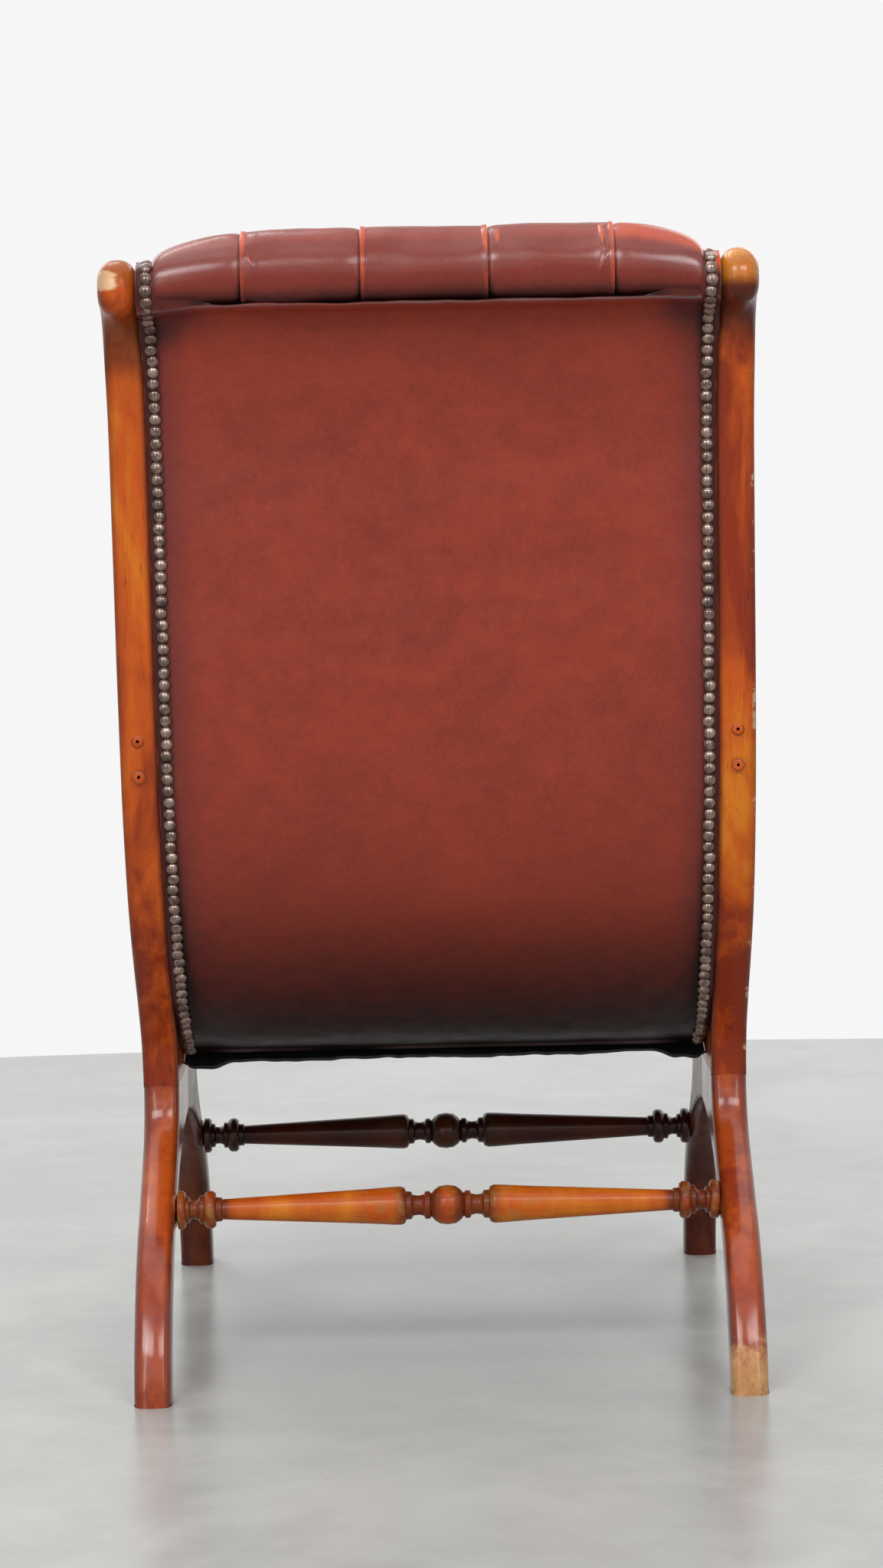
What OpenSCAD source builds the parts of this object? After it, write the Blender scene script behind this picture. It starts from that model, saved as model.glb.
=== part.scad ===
// Armless button-back slipper chair: two show-wood side frames with scrolled stiles and
// arched legs, joined by turned stretchers, with a nailed leather seat and back between them.
// It faces -Y and stands on z = 0, with the origin midway along its depth and width.
// Side outlines are drawn in [forward of the heel, height] and spread along X.

/* [Overall] */
// Width over the two side frames
overall_width = 530; // [480:1:600]
// Height of the scroll tops
stile_height = 947; // [850:1:1050]
// Length on the floor, from the heel of the rear foot to the toe of the front foot
foot_span = 618; // [580:1:680]
// How far the scrolls stand behind the heel
scroll_overhang = 65; // [55:1:90]
// How far the seat frame reaches forward of the heel
seat_reach = 640; // [620:1:680]

/* [Side frames] */
// Thickness of a side frame
frame_thick = 31; // [26:1:38]
// Depth of the stile, which is also the diameter of its scroll
stile_depth = 46; // [42:1:54]
// Height of the joint between the legs and the seat rail
waist_height = 242; // [225:1:260]
// How far the narrow waist stands forward of the heel, and behind the toe
waist_inset = 185; // [170:1:200]
// Height of the arch between the legs
arch_height = 195; // [170:1:205]
// Length of a foot on the floor
foot_length = 38; // [30:1:48]
// Depth of the stile behind the lapped tongue of the seat rail
lap_depth = 24; // [20:1:28]
// How far the tongue of the seat rail rises above the upper plug
lap_rise = 45; // [30:1:70]

/* [Stretchers] */
// Height of the stretchers' axis
stretcher_height = 144; // [130:1:160]
// Distance of a stretcher's axis from the heel or the toe
stretcher_inset = 120; // [112:1:126]
// Diameter of the large beads and of the swelling
stretcher_girth = 33; // [28:1:38]
// Diameter of a stretcher's tenon
tenon_d = 16; // [12:1:20]
// Length of a stretcher's tenon
tenon_length = 18; // [14:1:24]

/* [Upholstered body] */
// How far the body's rails lie inside the show-wood outline
recess = 5; // [4:0.5:7]
// Thickness of the body's side rails
side_rail_thick = 28; // [24:1:34]
// Thickness of the leather
leather_thick = 1.4; // [1:0.1:1.8]
// Thickness of the webbing
webbing_thick = 1.5; // [1:0.1:2.5]
// Thickness of the hessian and of the dust cover
cloth_thick = 1; // [0.6:0.1:1.5]
// Thickness of the foam in the back
back_foam = 28; // [22:1:36]
// Thickness of the foam in the seat
seat_foam = 50; // [40:1:60]
// Thickness of the padded leather of the back, at the crowns
back_pad = 24; // [22:1:30]
// Thickness of the padded leather of the seat, at the crowns
seat_pad = 30; // [26:1:36]
// Radius of the padded roll along the top
roll_r = 36; // [34:1:38]
// Radius of the crest rail inside the roll
crest_r = 19; // [16:1:20]
// How far the padding stands in front of the seat frame
front_pad = 13; // [10:1:18]

/* [Tufting and nails] */
// Distance between neighbouring buttons in a row
button_pitch = 100; // [90:1:106]
// Nominal distance between the rows of buttons
row_pitch = 70; // [60:1:80]
// Diameter of a button
button_d = 14; // [10:1:16]
// How far a button draws the padding in
button_depth = 17; // [12:1:18]
// Depth of the folds between the buttons
fold_depth = 8; // [5:1:10]
// Depth of the pleats over the rolled edges
pleat_depth = 3.5; // [2:0.5:5]
// Diameter of a nail head
nail_d = 9.4; // [8:0.2:9.8]
// Distance between neighbouring nails
nail_pitch = 10; // [9.9:0.1:12]
// Width of the leather band under the nails
band_width = 17; // [14:0.5:20]

/* [Fixings] */
// Diameter of a dowel in the leg joints
dowel_d = 10; // [8:1:12]
// Length of a dowel
dowel_length = 36; // [28:1:40]
// Diameter of the wooden plugs over the screws in the stiles
plug_d = 9; // [8:0.5:12]
// Diameter of a screw's shank
screw_d = 4.5; // [3.5:0.5:5]
// Height of the lower plug
plug_height = 525; // [500:1:540]
// Distance between the two plugs of a stile
plug_gap = 30; // [24:1:36]

/* [Hidden] */
$fn = 48;

// Clearance round soft pieces, and in blind holes beyond a pin's end
gap = 0.3;
hole_slack = 1;
// Overrun of every cut past the face that it opens
overrun = 1;
// Height of a nail head and of a button
nail_rise = 3;
button_rise = 5;
// Fixing details
plug_length = 6;
plug_proud = 0.5;
head_d = 8;
head_length = 4;
lap_screw_length = 30;
body_screw_length = 45;
// How far the padded roll stands forward of the scrolls and above them
roll_forward = 13;
roll_up = 10;
// Thickness of the padded leather over the seat's nose
nose_wall = 15;

scroll_r = stile_depth / 2;
carcass_depth = stile_depth - 2 * recess;
end_r = carcass_depth / 2;
frame_inner = overall_width / 2 - frame_thick;
body_inner = frame_inner - side_rail_thick;
pad_half = frame_inner - band_width - gap;
wall_half = body_inner - 2 * gap;
web_share = 0.7;
web_half = mix(body_inner, pad_half, web_share);
side_roll = 45;
heel_y = (seat_reach + front_pad - scroll_overhang) / 2;
back_f = scroll_r - scroll_overhang;
front_f = seat_reach - scroll_r;
edge_stack = 2 * leather_thick;
cloth_stack = webbing_thick + cloth_thick;
deck = carcass_depth;
wall_foot = deck + max(cloth_stack, edge_stack) + gap;
back_under = wall_foot + back_foam + gap;
seat_under = wall_foot + seat_foam + gap;
body_top = stile_height - stile_depth + recess;

// Line of the outside back and of the underside, from the scroll to the seat front, as shares
// of the length from scroll to front and of the height from the waist to the body's top
body_shares = [[0, 1], [0.026, 0.986], [0.049, 0.956], [0.074, 0.9], [0.099, 0.721], [0.117, 0.517],
    [0.147, 0.356], [0.203, 0.23], [0.25, 0.169], [0.31, 0.105], [0.375, 0.058], [0.443, 0.034],
    [0.533, 0.021], [0.671, 0.021], [0.792, 0.029], [0.914, 0.053], [1, 0.084]];
// The stile below the seat line, as shares of the waist's inset and height
knee_shares = [[0.838, 1.277], [0.955, 1.15], [1, 1]];
// The back edge of a rear leg, as shares of the waist's inset and height
leg_shares = [[1, 1], [0.985, 0.92], [0.92, 0.835], [0.827, 0.773], [0.605, 0.649], [0.384, 0.529],
    [0.227, 0.4], [0.114, 0.269], [0.03, 0.136], [0, 0]];
// The underside of the seat rail in front of the legs, as shares of its length and rise
under_shares = [[0, 0], [0.205, 0.06], [0.476, 0.3], [0.746, 0.71], [1, 1]];
// How square the arch is: 2 is an ellipse
arch_power = 1.8;

function turned(v) = [-v[1], v[0]];
function unit(v) = v / norm(v);
function aim(a) = [cos(a), sin(a)];
function ease(t) = let (c = min(1, max(0, t))) c * c * (3 - 2 * c);
function mix(a, b, t) = a + (b - a) * t;
function last(p) = p[len(p) - 1];
function back_to_front(p) = [for (i = [len(p) - 1 : -1 : 0]) p[i]];

// Direction of a line of points at one of them
function heading(p, i) = let (n = len(p) - 1)
    i == 0 ? unit(p[1] - p[0]) : i == n ? unit(p[n] - p[n - 1]) :
    let (a = norm(p[i] - p[i - 1]), b = norm(p[i + 1] - p[i]))
    ((p[i] - p[i - 1]) / a * b + (p[i + 1] - p[i]) / b * a) / (a + b);

// Smooth curve through points, leaving and arriving in the given directions
function smooth(p, steps, leave, arrive) = [
    for (i = [0 : len(p) - 2]) for (k = [0 : steps - 1])
        let (t = k / steps, d = norm(p[i + 1] - p[i]),
            m0 = i == 0 ? leave : heading(p, i),
            m1 = i == len(p) - 2 ? arrive : heading(p, i + 1))
        (2 * t^3 - 3 * t^2 + 1) * p[i] + (t^3 - 2 * t^2 + t) * d * m0
            + (3 * t^2 - 2 * t^3) * p[i + 1] + (t^3 - t^2) * d * m1,
    last(p)];

// Distance run along a line at each of its points, and the place at a given distance
function runs(p) = [
    for (i = 0, s = 0; i < len(p); i = i + 1, s = s + (i < len(p) ? norm(p[i] - p[i - 1]) : 0)) s];
function place_at(p, run, s) = [
    lookup(s, [for (i = [0 : len(p) - 1]) [run[i], p[i][0]]]),
    lookup(s, [for (i = [0 : len(p) - 1]) [run[i], p[i][1]]])];

// Stations along the body line, a quarter of a button row apart, with their outward normals
body_curve = smooth([for (s = body_shares) [mix(back_f, front_f, s[0]), mix(waist_height, body_top, s[1])]],
    8, [1, 0], [1, 0]);
body_run = runs(body_curve);
body_length = last(body_run);
quarters = round(body_length / row_pitch * 4);
line = [for (i = [0 : quarters]) place_at(body_curve, body_run, body_length * i / quarters)];
normals = [for (i = [0 : quarters])
    i == 0 || i == quarters ? [0, 1] : turned(unit(line[i + 1] - line[i - 1]))];
function off(i, d) = line[i] + normals[i] * d;
function layer(d, from, to) = [for (i = [from : to]) off(i, d)];
function station_at(height) = [for (i = [0 : quarters]) if (line[i][1] < height) i][0];

// Centres of the scroll, of the seat frame's round front, of the top roll and of the seat's nose
scroll_c = off(0, end_r);
front_c = off(quarters, end_r);
roll_c = scroll_c + [roll_forward, roll_up];
roll_top = roll_c[1] + roll_r;
nose_c = [front_c[0], mix(front_c[1], off(quarters, seat_under)[1], 0.5)];
nose_x = front_pad + scroll_r - nose_wall;

// How high the stile leaves the body, the back ends and the outside leather ends, as shares of
// the height from the waist to the body's top
leave_share = 0.169;
join_share = 0.13;
hem_share = 0.043;
// Stations where the tongue begins, the stile leaves the body, the back ends, the leather ends
lap_i = station_at(plug_height + plug_gap + lap_rise);
leave_i = station_at(mix(waist_height, body_top, leave_share));
join_i = station_at(mix(waist_height, body_top, join_share));
hem_i = station_at(mix(waist_height, body_top, hem_share));
// First row of buttons of the back and of the seat, and how many rows each has
back_row = 8;
seat_row = join_i + 4;
back_rows = floor((join_i - back_row) / 4);
seat_rows = floor((quarters - 3 - seat_row) / 4);

// Back edge of the stile, from the scroll down to the waist, and the face of the lap in front of it
stile_top = layer(-recess, 0, leave_i);
knee = [for (s = knee_shares) [s[0] * waist_inset, s[1] * waist_height]];
stile_foot = smooth(concat([last(stile_top)], knee), 4, heading(stile_top, leave_i), [0, -1]);
stile_rest = [for (i = [1 : len(stile_foot) - 1]) stile_foot[i]];
stile_back = concat(stile_top, stile_rest);
lap_face = [for (i = [lap_i : len(stile_back) - 1])
    stile_back[i] + turned(i == len(stile_back) - 1 ? [0, -1] : heading(stile_back, i)) * lap_depth];
function stile_f(z) = lookup(z, back_to_front([
    for (i = [1 : len(stile_back) - 1]) [stile_back[i][1], stile_back[i][0]]]));

rail_end = [foot_span - waist_inset, waist_height];
rail_under = smooth([for (s = under_shares) [mix(rail_end[0], front_f, s[0]),
    mix(waist_height, front_c[1] - scroll_r, s[1])]], 4, [1, 0], [1, 0]);

// A side outline made solid from x1 to x2
module side(x1, x2) {
    translate([x2, heel_y, 0]) rotate([90, 0, -90]) linear_extrude(x2 - x1) children();
}

// A round bar or hole along X at a place of the side outline
module across(c, r, x1, x2) {
    translate([x1, heel_y - c[0], c[1]]) rotate([0, 90, 0]) cylinder(r = r, h = x2 - x1);
}

// A round bar or hole pointing forward from a place of the side outline
module forward(c, x, r, length) {
    translate([x, heel_y - c[0], c[1]]) rotate([90, 0, 0]) cylinder(r = r, h = length);
}

// The children on both sides of the chair
module both() {
    children();
    mirror([1, 0, 0]) children();
}

module on_side(right) {
    if (right) mirror([1, 0, 0]) children();
    else children();
}

// Holes of the side frame
module plug_holes() {
    for (k = [0, 1]) {
        z = plug_height + k * plug_gap;
        c = [stile_f(z), z];
        mid = frame_inner + frame_thick / 2;
        forward(c - [overrun, 0], mid, plug_d / 2, overrun + plug_length + head_length);
        forward(c, mid, screw_d / 2, plug_length + lap_screw_length + hole_slack);
    }
}

dowel_places = [waist_inset + 2 * lap_depth - dowel_d, foot_span / 2 - dowel_length];
module leg_dowel_set(extra) {
    for (f = concat(dowel_places, [for (f = dowel_places) foot_span - f]))
        translate([frame_inner + frame_thick / 2, heel_y - f, waist_height - dowel_length / 2 - extra])
            cylinder(d = dowel_d, h = dowel_length + 2 * extra);
}

module centre_dowel(extra) {
    forward([(foot_span - dowel_length) / 2 - extra, mix(arch_height, waist_height, 0.5)],
        frame_inner + frame_thick / 2, dowel_d / 2, dowel_length + 2 * extra);
}

module tenon_holes() {
    for (f = [stretcher_inset, foot_span - stretcher_inset])
        across([f, stretcher_height], tenon_d / 2, frame_inner - overrun,
            frame_inner + tenon_length + hole_slack);
}

mid_share = 0.45;
screw_stations = [lap_i - 8, lap_i + 6, round(mix(join_i, quarters, mid_share)), quarters - 6];
module body_screw_set(extra, grow) {
    for (i = screw_stations) {
        c = off(i, end_r);
        across(c, screw_d / 2 + grow, body_inner, body_inner + body_screw_length + extra);
        across(c, head_d / 2 + grow, body_inner - extra, body_inner + head_length);
    }
}

module back_stile(right) {
    outline = concat(back_to_front(layer(deck + recess, 0, lap_i)), stile_back, back_to_front(lap_face));
    color("sienna") on_side(right) difference() {
        union() {
            side(frame_inner, frame_inner + frame_thick) polygon(outline);
            across(scroll_c, scroll_r, frame_inner, frame_inner + frame_thick);
        }
        plug_holes();
        body_screw_set(hole_slack, 0);
    }
}

module seat_rail(right) {
    outline = concat(lap_face, [for (i = [0 : len(rail_under) - 1]) rail_under[i]],
        back_to_front(layer(deck + recess, lap_i, quarters)));
    color("sienna") on_side(right) difference() {
        union() {
            side(frame_inner, frame_inner + frame_thick) polygon(outline);
            across(front_c, scroll_r, frame_inner, frame_inner + frame_thick);
        }
        plug_holes();
        leg_dowel_set(hole_slack);
        body_screw_set(hole_slack, 0);
    }
}

// The rear leg's outline; the front leg is its mirror image in the middle of the foot span
arch_turn = [for (a = [0 : 7.5 : 90]) [
    foot_span / 2 - (foot_span / 2 - foot_length) * cos(a) ^ (2 / arch_power),
    arch_height * sin(a) ^ (2 / arch_power)]];
leg_back = smooth([for (s = leg_shares) [s[0] * waist_inset, s[1] * waist_height]], 3, [0, -1], [0, -1]);
leg_outline = concat(leg_back, arch_turn, [[foot_span / 2, waist_height]]);

module leg(right, front) {
    outline = front ? [for (p = leg_outline) [foot_span - p[0], p[1]]] : leg_outline;
    color("brown") on_side(right) difference() {
        side(frame_inner, frame_inner + frame_thick) polygon(outline);
        leg_dowel_set(hole_slack);
        centre_dowel(hole_slack);
        tenon_holes();
    }
}

// Turned profile of half a stretcher from the leg inwards: [share of the half length, share of the girth]
turning_shares = [[0, 0.62], [0, 0.9], [0.008, 1], [0.026, 1], [0.034, 0.9], [0.036, 0.7], [0.048, 0.68],
    [0.054, 0.5], [0.07, 0.48], [0.084, 0.56], [0.088, 0.74], [0.104, 0.74], [0.108, 0.88], [0.118, 0.97],
    [0.136, 0.97], [0.146, 0.86], [0.148, 0.64], [0.168, 0.62], [0.172, 0.53], [0.3, 0.62], [0.5, 0.76],
    [0.7, 0.9], [0.8, 0.99], [0.828, 1], [0.842, 0.93], [0.848, 0.74], [0.866, 0.72], [0.874, 0.54],
    [0.894, 0.5], [0.912, 0.56], [0.918, 0.72], [0.934, 0.72], [0.94, 0.6], [0.952, 0.8], [0.97, 0.97],
    [1, 1.03]];
module stretcher(f) {
    tip = frame_inner + tenon_length;
    half = concat([[0, tip], [tenon_d / 2, tip], [tenon_d / 2, frame_inner]],
        [for (s = turning_shares) [s[1] * stretcher_girth / 2, (1 - s[0]) * frame_inner]]);
    profile = concat(half, [for (i = [len(half) - 2 : -1 : 0]) [half[i][0], -half[i][1]]]);
    color("chocolate") translate([0, heel_y - f, stretcher_height]) rotate([0, 90, 0])
        rotate_extrude() polygon(profile);
}

module leg_dowels() {
    color("burlywood") both() leg_dowel_set(0);
}

module centre_dowels() {
    color("burlywood") both() centre_dowel(0);
}

module lap_screws() {
    color("silver") both() for (k = [0, 1]) {
        z = plug_height + k * plug_gap;
        c = [stile_f(z) + plug_length, z];
        mid = frame_inner + frame_thick / 2;
        forward(c, mid, head_d / 2, head_length);
        forward(c, mid, screw_d / 2, lap_screw_length);
    }
}

module screw_plugs() {
    color("peru") both() for (k = [0, 1]) {
        z = plug_height + k * plug_gap;
        mid = frame_inner + frame_thick / 2;
        forward([stile_f(z) - plug_proud, z], mid, plug_d / 2, plug_length + plug_proud);
    }
}

module body_rail(right) {
    outline = concat(layer(0, 0, quarters), back_to_front(layer(deck, 0, quarters)));
    color("tan") on_side(right) difference() {
        union() {
            side(body_inner, frame_inner) polygon(outline);
            across(scroll_c, end_r, body_inner, frame_inner);
            across(front_c, end_r, body_inner, frame_inner);
        }
        body_screw_set(hole_slack, 0);
    }
}

module crest_rail() {
    color("tan") across(roll_c, crest_r, -body_inner, body_inner);
}

// Board behind the lower edge of the outside leather
module rear_tie_rail() {
    color("tan") side(-body_inner, body_inner)
        polygon(concat(layer(0, hem_i - 1, hem_i + 1), back_to_front(layer(deck, hem_i - 1, hem_i + 1))));
}

module front_bar() {
    color("tan") across(front_c, end_r, -body_inner, body_inner);
}

module body_screws() {
    color("silver") both() body_screw_set(0, 0);
}

// Straps across the body, three quarters of a row wide
module straps(from, to) {
    color("wheat") for (i = [from : 4 : to - 3]) sheet_layer(deck, deck + webbing_thick, web_half, i, i + 3);
}

module sheet_layer(d1, d2, half, from, to) {
    side(-half, half) polygon(concat(layer(d1, from, to), back_to_front(layer(d2, from, to))));
}

module hessian(from, to) {
    color("khaki") sheet_layer(deck + webbing_thick, deck + cloth_stack, web_half, from, to);
}

module back_foam_pad() {
    color("lightyellow") sheet_layer(wall_foot, wall_foot + back_foam, wall_half - gap, 4, join_i - 1);
}

// Seat foam with its rounded nose over the front bar
module seat_foam_pad() {
    rise = off(quarters, seat_under)[1] - nose_c[1] - gap;
    outline = concat(layer(wall_foot, join_i + 1, quarters), [[nose_c[0], nose_c[1]]],
        [for (a = [0 : 15 : 75]) nose_c + [(nose_x - gap) * cos(a), rise * sin(a)]],
        back_to_front(layer(wall_foot + seat_foam, join_i + 1, quarters)));
    color("lightyellow") side(gap - wall_half, wall_half - gap) polygon(outline);
}

// Rings of a padded cover: each holds the crown, the underside, the foot of the side walls,
// the place along the rows of buttons, counted in rows, and how deep the folds are there
roll_steps = 8;
roll_start = 226;
roll_end = 62;
roll_rings = [for (k = [0 : roll_steps]) let (a = mix(roll_start, roll_end, k / roll_steps))
    [roll_c + aim(a) * roll_r, roll_c + aim(a) * (crest_r + 2 * gap),
    scroll_c + aim(a) * (end_r + gap), -3, 0]];
function back_ring(i, shift) = let (e = ease(i / 5), slide = -turned(normals[i]) * shift)
    [off(i, mix(roll_top - line[0][1], back_under + back_pad, e)) - slide,
    off(i, mix(roll_c[1] + crest_r + 2 * gap - line[0][1], back_under, e)) - slide,
    off(i, wall_foot) - slide, (i - back_row) / 4, ease((i - 1) / (back_row - 1))];
back_rings = concat(roll_rings, [for (i = [1 : join_i]) back_ring(i, i == join_i ? -gap : 0)]);

function seat_ring(i, shift) = let (slide = -turned(normals[i]) * shift)
    [off(i, seat_under + seat_pad) - slide, off(i, seat_under) - slide, off(i, wall_foot) - slide,
    (i - seat_row) / 4, ease((quarters - i) / 3)];
nose_top = off(quarters, seat_under + seat_pad)[1];
// Angle at which the side of the nose passes from its upper to its lower part
nose_turn = 6;
nose_rings = concat(
    [for (a = [72 : -18 : 0]) [
        nose_c + [(nose_x + nose_wall) * cos(a), (nose_top - nose_c[1]) * sin(a)],
        nose_c + [nose_x * cos(a), (off(quarters, seat_under)[1] - nose_c[1]) * sin(a)],
        front_c + aim(mix(nose_turn, 90, a / 90)) * (end_r + wall_foot - deck), seat_rows + 4, 0]],
    [for (a = [0 : -27 : -81]) [
        front_c + aim(a) * (nose_x + nose_wall), front_c + aim(a) * nose_x,
        front_c + aim(a) * (end_r + wall_foot - deck), seat_rows + 4, 0]]);
seat_rings = concat([for (i = [join_i : quarters]) seat_ring(i, i == join_i ? gap : 0)], nose_rings);

// Columns across a cover, in quarters of the button pitch, then the rounded side
column_shares = [0, 0.25, 0.5, 0.75, 1, 1.25, 1.5, 1.75];
half_columns = concat([for (s = column_shares) s * button_pitch],
    [for (s = [0.5, 0.83, 1]) mix(pad_half - side_roll, pad_half, s)]);
columns = concat([for (i = [len(half_columns) - 1 : -1 : 1]) -half_columns[i]], half_columns);

// How full the padding is between its folds, from 0 in a fold to 1 on a crown
function fullness(u, v, rows) =
    let (w = min(rows - 1, max(0, v)), inner = min(3, abs(u)), outer = min(4, abs(u)))
    v < 0 || v > rows - 1 ?
        cos(90 * outer) ^ 2 * mix(1, sin(90 * min(1, abs(v - w))) ^ 2, abs(u) > 3 ? ease(abs(u) - 3) : 0) :
        abs(cos(90 * (inner + w)) * cos(90 * (inner - w)));
function draw_in(x, v, rows, soft) = let (u = x / button_pitch * 2, full = fullness(u, v, rows) ^ 0.6,
    row = min(rows - 1, max(0, round(v))), shift = row % 2 == 0 ? 1 : 0,
    column = min(3 - row % 2, max(row % 2 - 3, 2 * round((u - shift) / 2) + shift)),
    near = max(0, 1 - norm([(u - column) * button_pitch / 2, (v - row) * row_pitch]) / (button_pitch / 3)))
    mix(pleat_depth, fold_depth, soft) * (1 - full) + (button_depth - fold_depth) * near ^ 2 * soft;

// How far the leather's side comes down towards the rail, as a share of the side's height
tuck_share = 0.93;
function skin_point(ring, x, rows) = let (t = max(0, (abs(x) - pad_half + side_roll) / side_roll),
    side_share = 1 - sqrt(max(0, 1 - t * t)), up = unit(ring[0] - ring[1]),
    p = mix(ring[0], ring[2], side_share * tuck_share))
    p - up * draw_in(x, ring[3], rows, ring[4]) * (1 - side_share);

function ring_points(ring, rows) = concat(
    [for (x = columns) let (p = skin_point(ring, x, rows)) [x, heel_y - p[0], p[1]]],
    [for (q = [[pad_half, 2], [wall_half, 2], [wall_half, 1], [-wall_half, 1], [-wall_half, 2], [-pad_half, 2]])
        let (p = ring[q[1]]) [q[0], heel_y - p[0], p[1]]]);

// The end face of a padded cover: its columns fan out from the two corners of the underside
function end_face(first) = let (c = len(columns), mid = (c - 1) / 2, foot = first + c) concat(
    [for (k = [0 : c - 2]) [first + k, first + k + 1, foot + (k < mid ? 3 : 2)]],
    [[first + mid, foot + 2, foot + 3], [foot, foot + 1, first + c - 1], [foot + 1, foot + 2, first + c - 1],
     [first, foot + 3, foot + 4], [first, foot + 4, foot + 5]]);

module padded(rings, rows) {
    n = len(columns) + 6;
    m = len(rings);
    points = [for (r = rings) each ring_points(r, rows)];
    walls = [for (i = [0 : m - 2]) for (k = [0 : n - 1]) let (a = i * n + k, b = i * n + (k + 1) % n)
        each [[a, b, a + n], [b, b + n, a + n]]];
    polyhedron(points, concat(walls, end_face((m - 1) * n), [for (t = end_face(0)) back_to_front(t)]));
}

module back_cover() {
    color("maroon") padded(back_rings, back_rows);
}

module seat_cover() {
    color("maroon") padded(seat_rings, seat_rows);
}

// A dome of the given diameter and rise, standing on the side outline with its axis along n
module dome(c, n, x, d, rise) {
    r = (d * d / 4 + rise * rise) / (2 * rise);
    translate([x, heel_y - c[0], c[1]]) rotate([atan2(n[0], n[1]), 0, 0]) intersection() {
        translate([0, 0, rise - r]) sphere(r);
        translate([-d, -d, 0]) cube([2 * d, 2 * d, 2 * d]);
    }
}

// How far a button's flat base lies above the bottom of its tuft, clear of the leather round it
function button_lift(rings, r, x, rows, n) = let (p = skin_point(rings[r], x, rows), step = button_pitch / 4)
    gap + max([for (dr = [-2 : 2]) for (dx = [-step, 0, step]) if (dr != 0 || dx != 0)
        let (v = skin_point(rings[r + dr], x + dx, rows) - p)
        v * n * min(1, button_d / 2 / norm([dx, v * turned(n)]))]);

module buttons(rings, first, rows, start) {
    color("darkred") for (j = [0 : rows - 1]) let (i = start + 4 * j, r = first + 4 * j, low = j % 2)
        for (u = [low - 3 : 2 : 3 - low]) {
            x = u * button_pitch / 2;
            lift = button_lift(rings, r, x, rows, normals[i]);
            dome(skin_point(rings[r], x, rows) + normals[i] * lift, normals[i], x, button_d, button_rise);
        }
}

module back_buttons() {
    buttons(back_rings, back_row + roll_steps, back_rows, back_row);
}

module seat_buttons() {
    buttons(seat_rings, seat_row - join_i, seat_rows, seat_row);
}

module outside_back() {
    color("firebrick") sheet_layer(-leather_thick, 0, frame_inner - gap, 0, hem_i);
}

module dust_cover() {
    color("black") sheet_layer(-cloth_thick, 0, frame_inner - gap, hem_i + 1, quarters);
}

// Half ring of leather round an end of the body
module end_wrap(c, from, to, r1, r2) {
    pts = [for (a = [from : (to - from) / 12 : to]) aim(a)];
    side(pad_half + gap, frame_inner - gap)
        polygon(concat([for (p = pts) c + p * r1], [for (p = back_to_front(pts)) c + p * r2]));
}

module rear_band(right) {
    color("maroon") on_side(right) {
        side(frame_inner - band_width, frame_inner - gap)
            polygon(concat(layer(-edge_stack, 0, hem_i), back_to_front(layer(-leather_thick, 0, hem_i))));
        end_wrap(scroll_c, 90, 270, end_r, end_r + edge_stack);
    }
}

module front_band(right) {
    color("maroon") on_side(right) {
        side(pad_half + gap, frame_inner - gap)
            polygon(concat(layer(deck, 0, quarters), back_to_front(layer(deck + edge_stack, 0, quarters))));
        end_wrap(front_c, -90, 90, end_r, end_r + edge_stack);
    }
}

// Nails at an even pitch along a line of the side outline
module nails(path) {
    run = runs(path);
    x = frame_inner - band_width / 2 + gap;
    color("dimgray") for (s = [nail_pitch / 2 : nail_pitch : last(run)]) {
        c = place_at(path, run, s);
        d = place_at(path, run, s + overrun) - place_at(path, run, s - overrun);
        dome(c, turned(unit(d)), x, nail_d, nail_rise);
    }
}

nail_line_r = end_r + edge_stack + gap;
rear_nail_line = concat(back_to_front(layer(-edge_stack - gap, 0, hem_i - 1)),
    [for (a = [262 : -8 : 94]) scroll_c + aim(a) * nail_line_r]);
front_nail_line = concat([scroll_c + aim(90) * nail_line_r], layer(deck + edge_stack + gap, 1, quarters),
    [for (a = [82 : -8 : -70]) front_c + aim(a) * nail_line_r]);

module rear_nails(right) {
    on_side(right) nails(rear_nail_line);
}

module front_nails(right) {
    on_side(right) nails(front_nail_line);
}

back_stile(false);  // left_back_stile
back_stile(true);  // right_back_stile
seat_rail(false);  // left_seat_rail
seat_rail(true);  // right_seat_rail
leg(false, false);  // left_rear_leg
leg(true, false);  // right_rear_leg
leg(false, true);  // left_front_leg
leg(true, true);  // right_front_leg
stretcher(stretcher_inset);  // rear_stretcher
stretcher(foot_span - stretcher_inset);  // front_stretcher
leg_dowels();
centre_dowels();
lap_screws();
screw_plugs();
body_rail(false);  // left_body_rail
body_rail(true);  // right_body_rail
crest_rail();
rear_tie_rail();
front_bar();
body_screws();
straps(4, join_i - 1);  // back_webbing
straps(join_i + 1, quarters);  // seat_webbing
hessian(4, join_i - 1);  // back_hessian
hessian(join_i + 1, quarters);  // seat_hessian
back_foam_pad();
seat_foam_pad();
back_cover();
seat_cover();
back_buttons();
seat_buttons();
outside_back();
dust_cover();
rear_band(false);  // left_rear_band
rear_band(true);  // right_rear_band
front_band(false);  // left_front_band
front_band(true);  // right_front_band
rear_nails(false);  // left_rear_nails
rear_nails(true);  // right_rear_nails
front_nails(false);  // left_front_nails
front_nails(true);  // right_front_nails
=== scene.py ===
import math

import bmesh
import bpy
import numpy as np
from mathutils import Matrix, Vector


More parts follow.
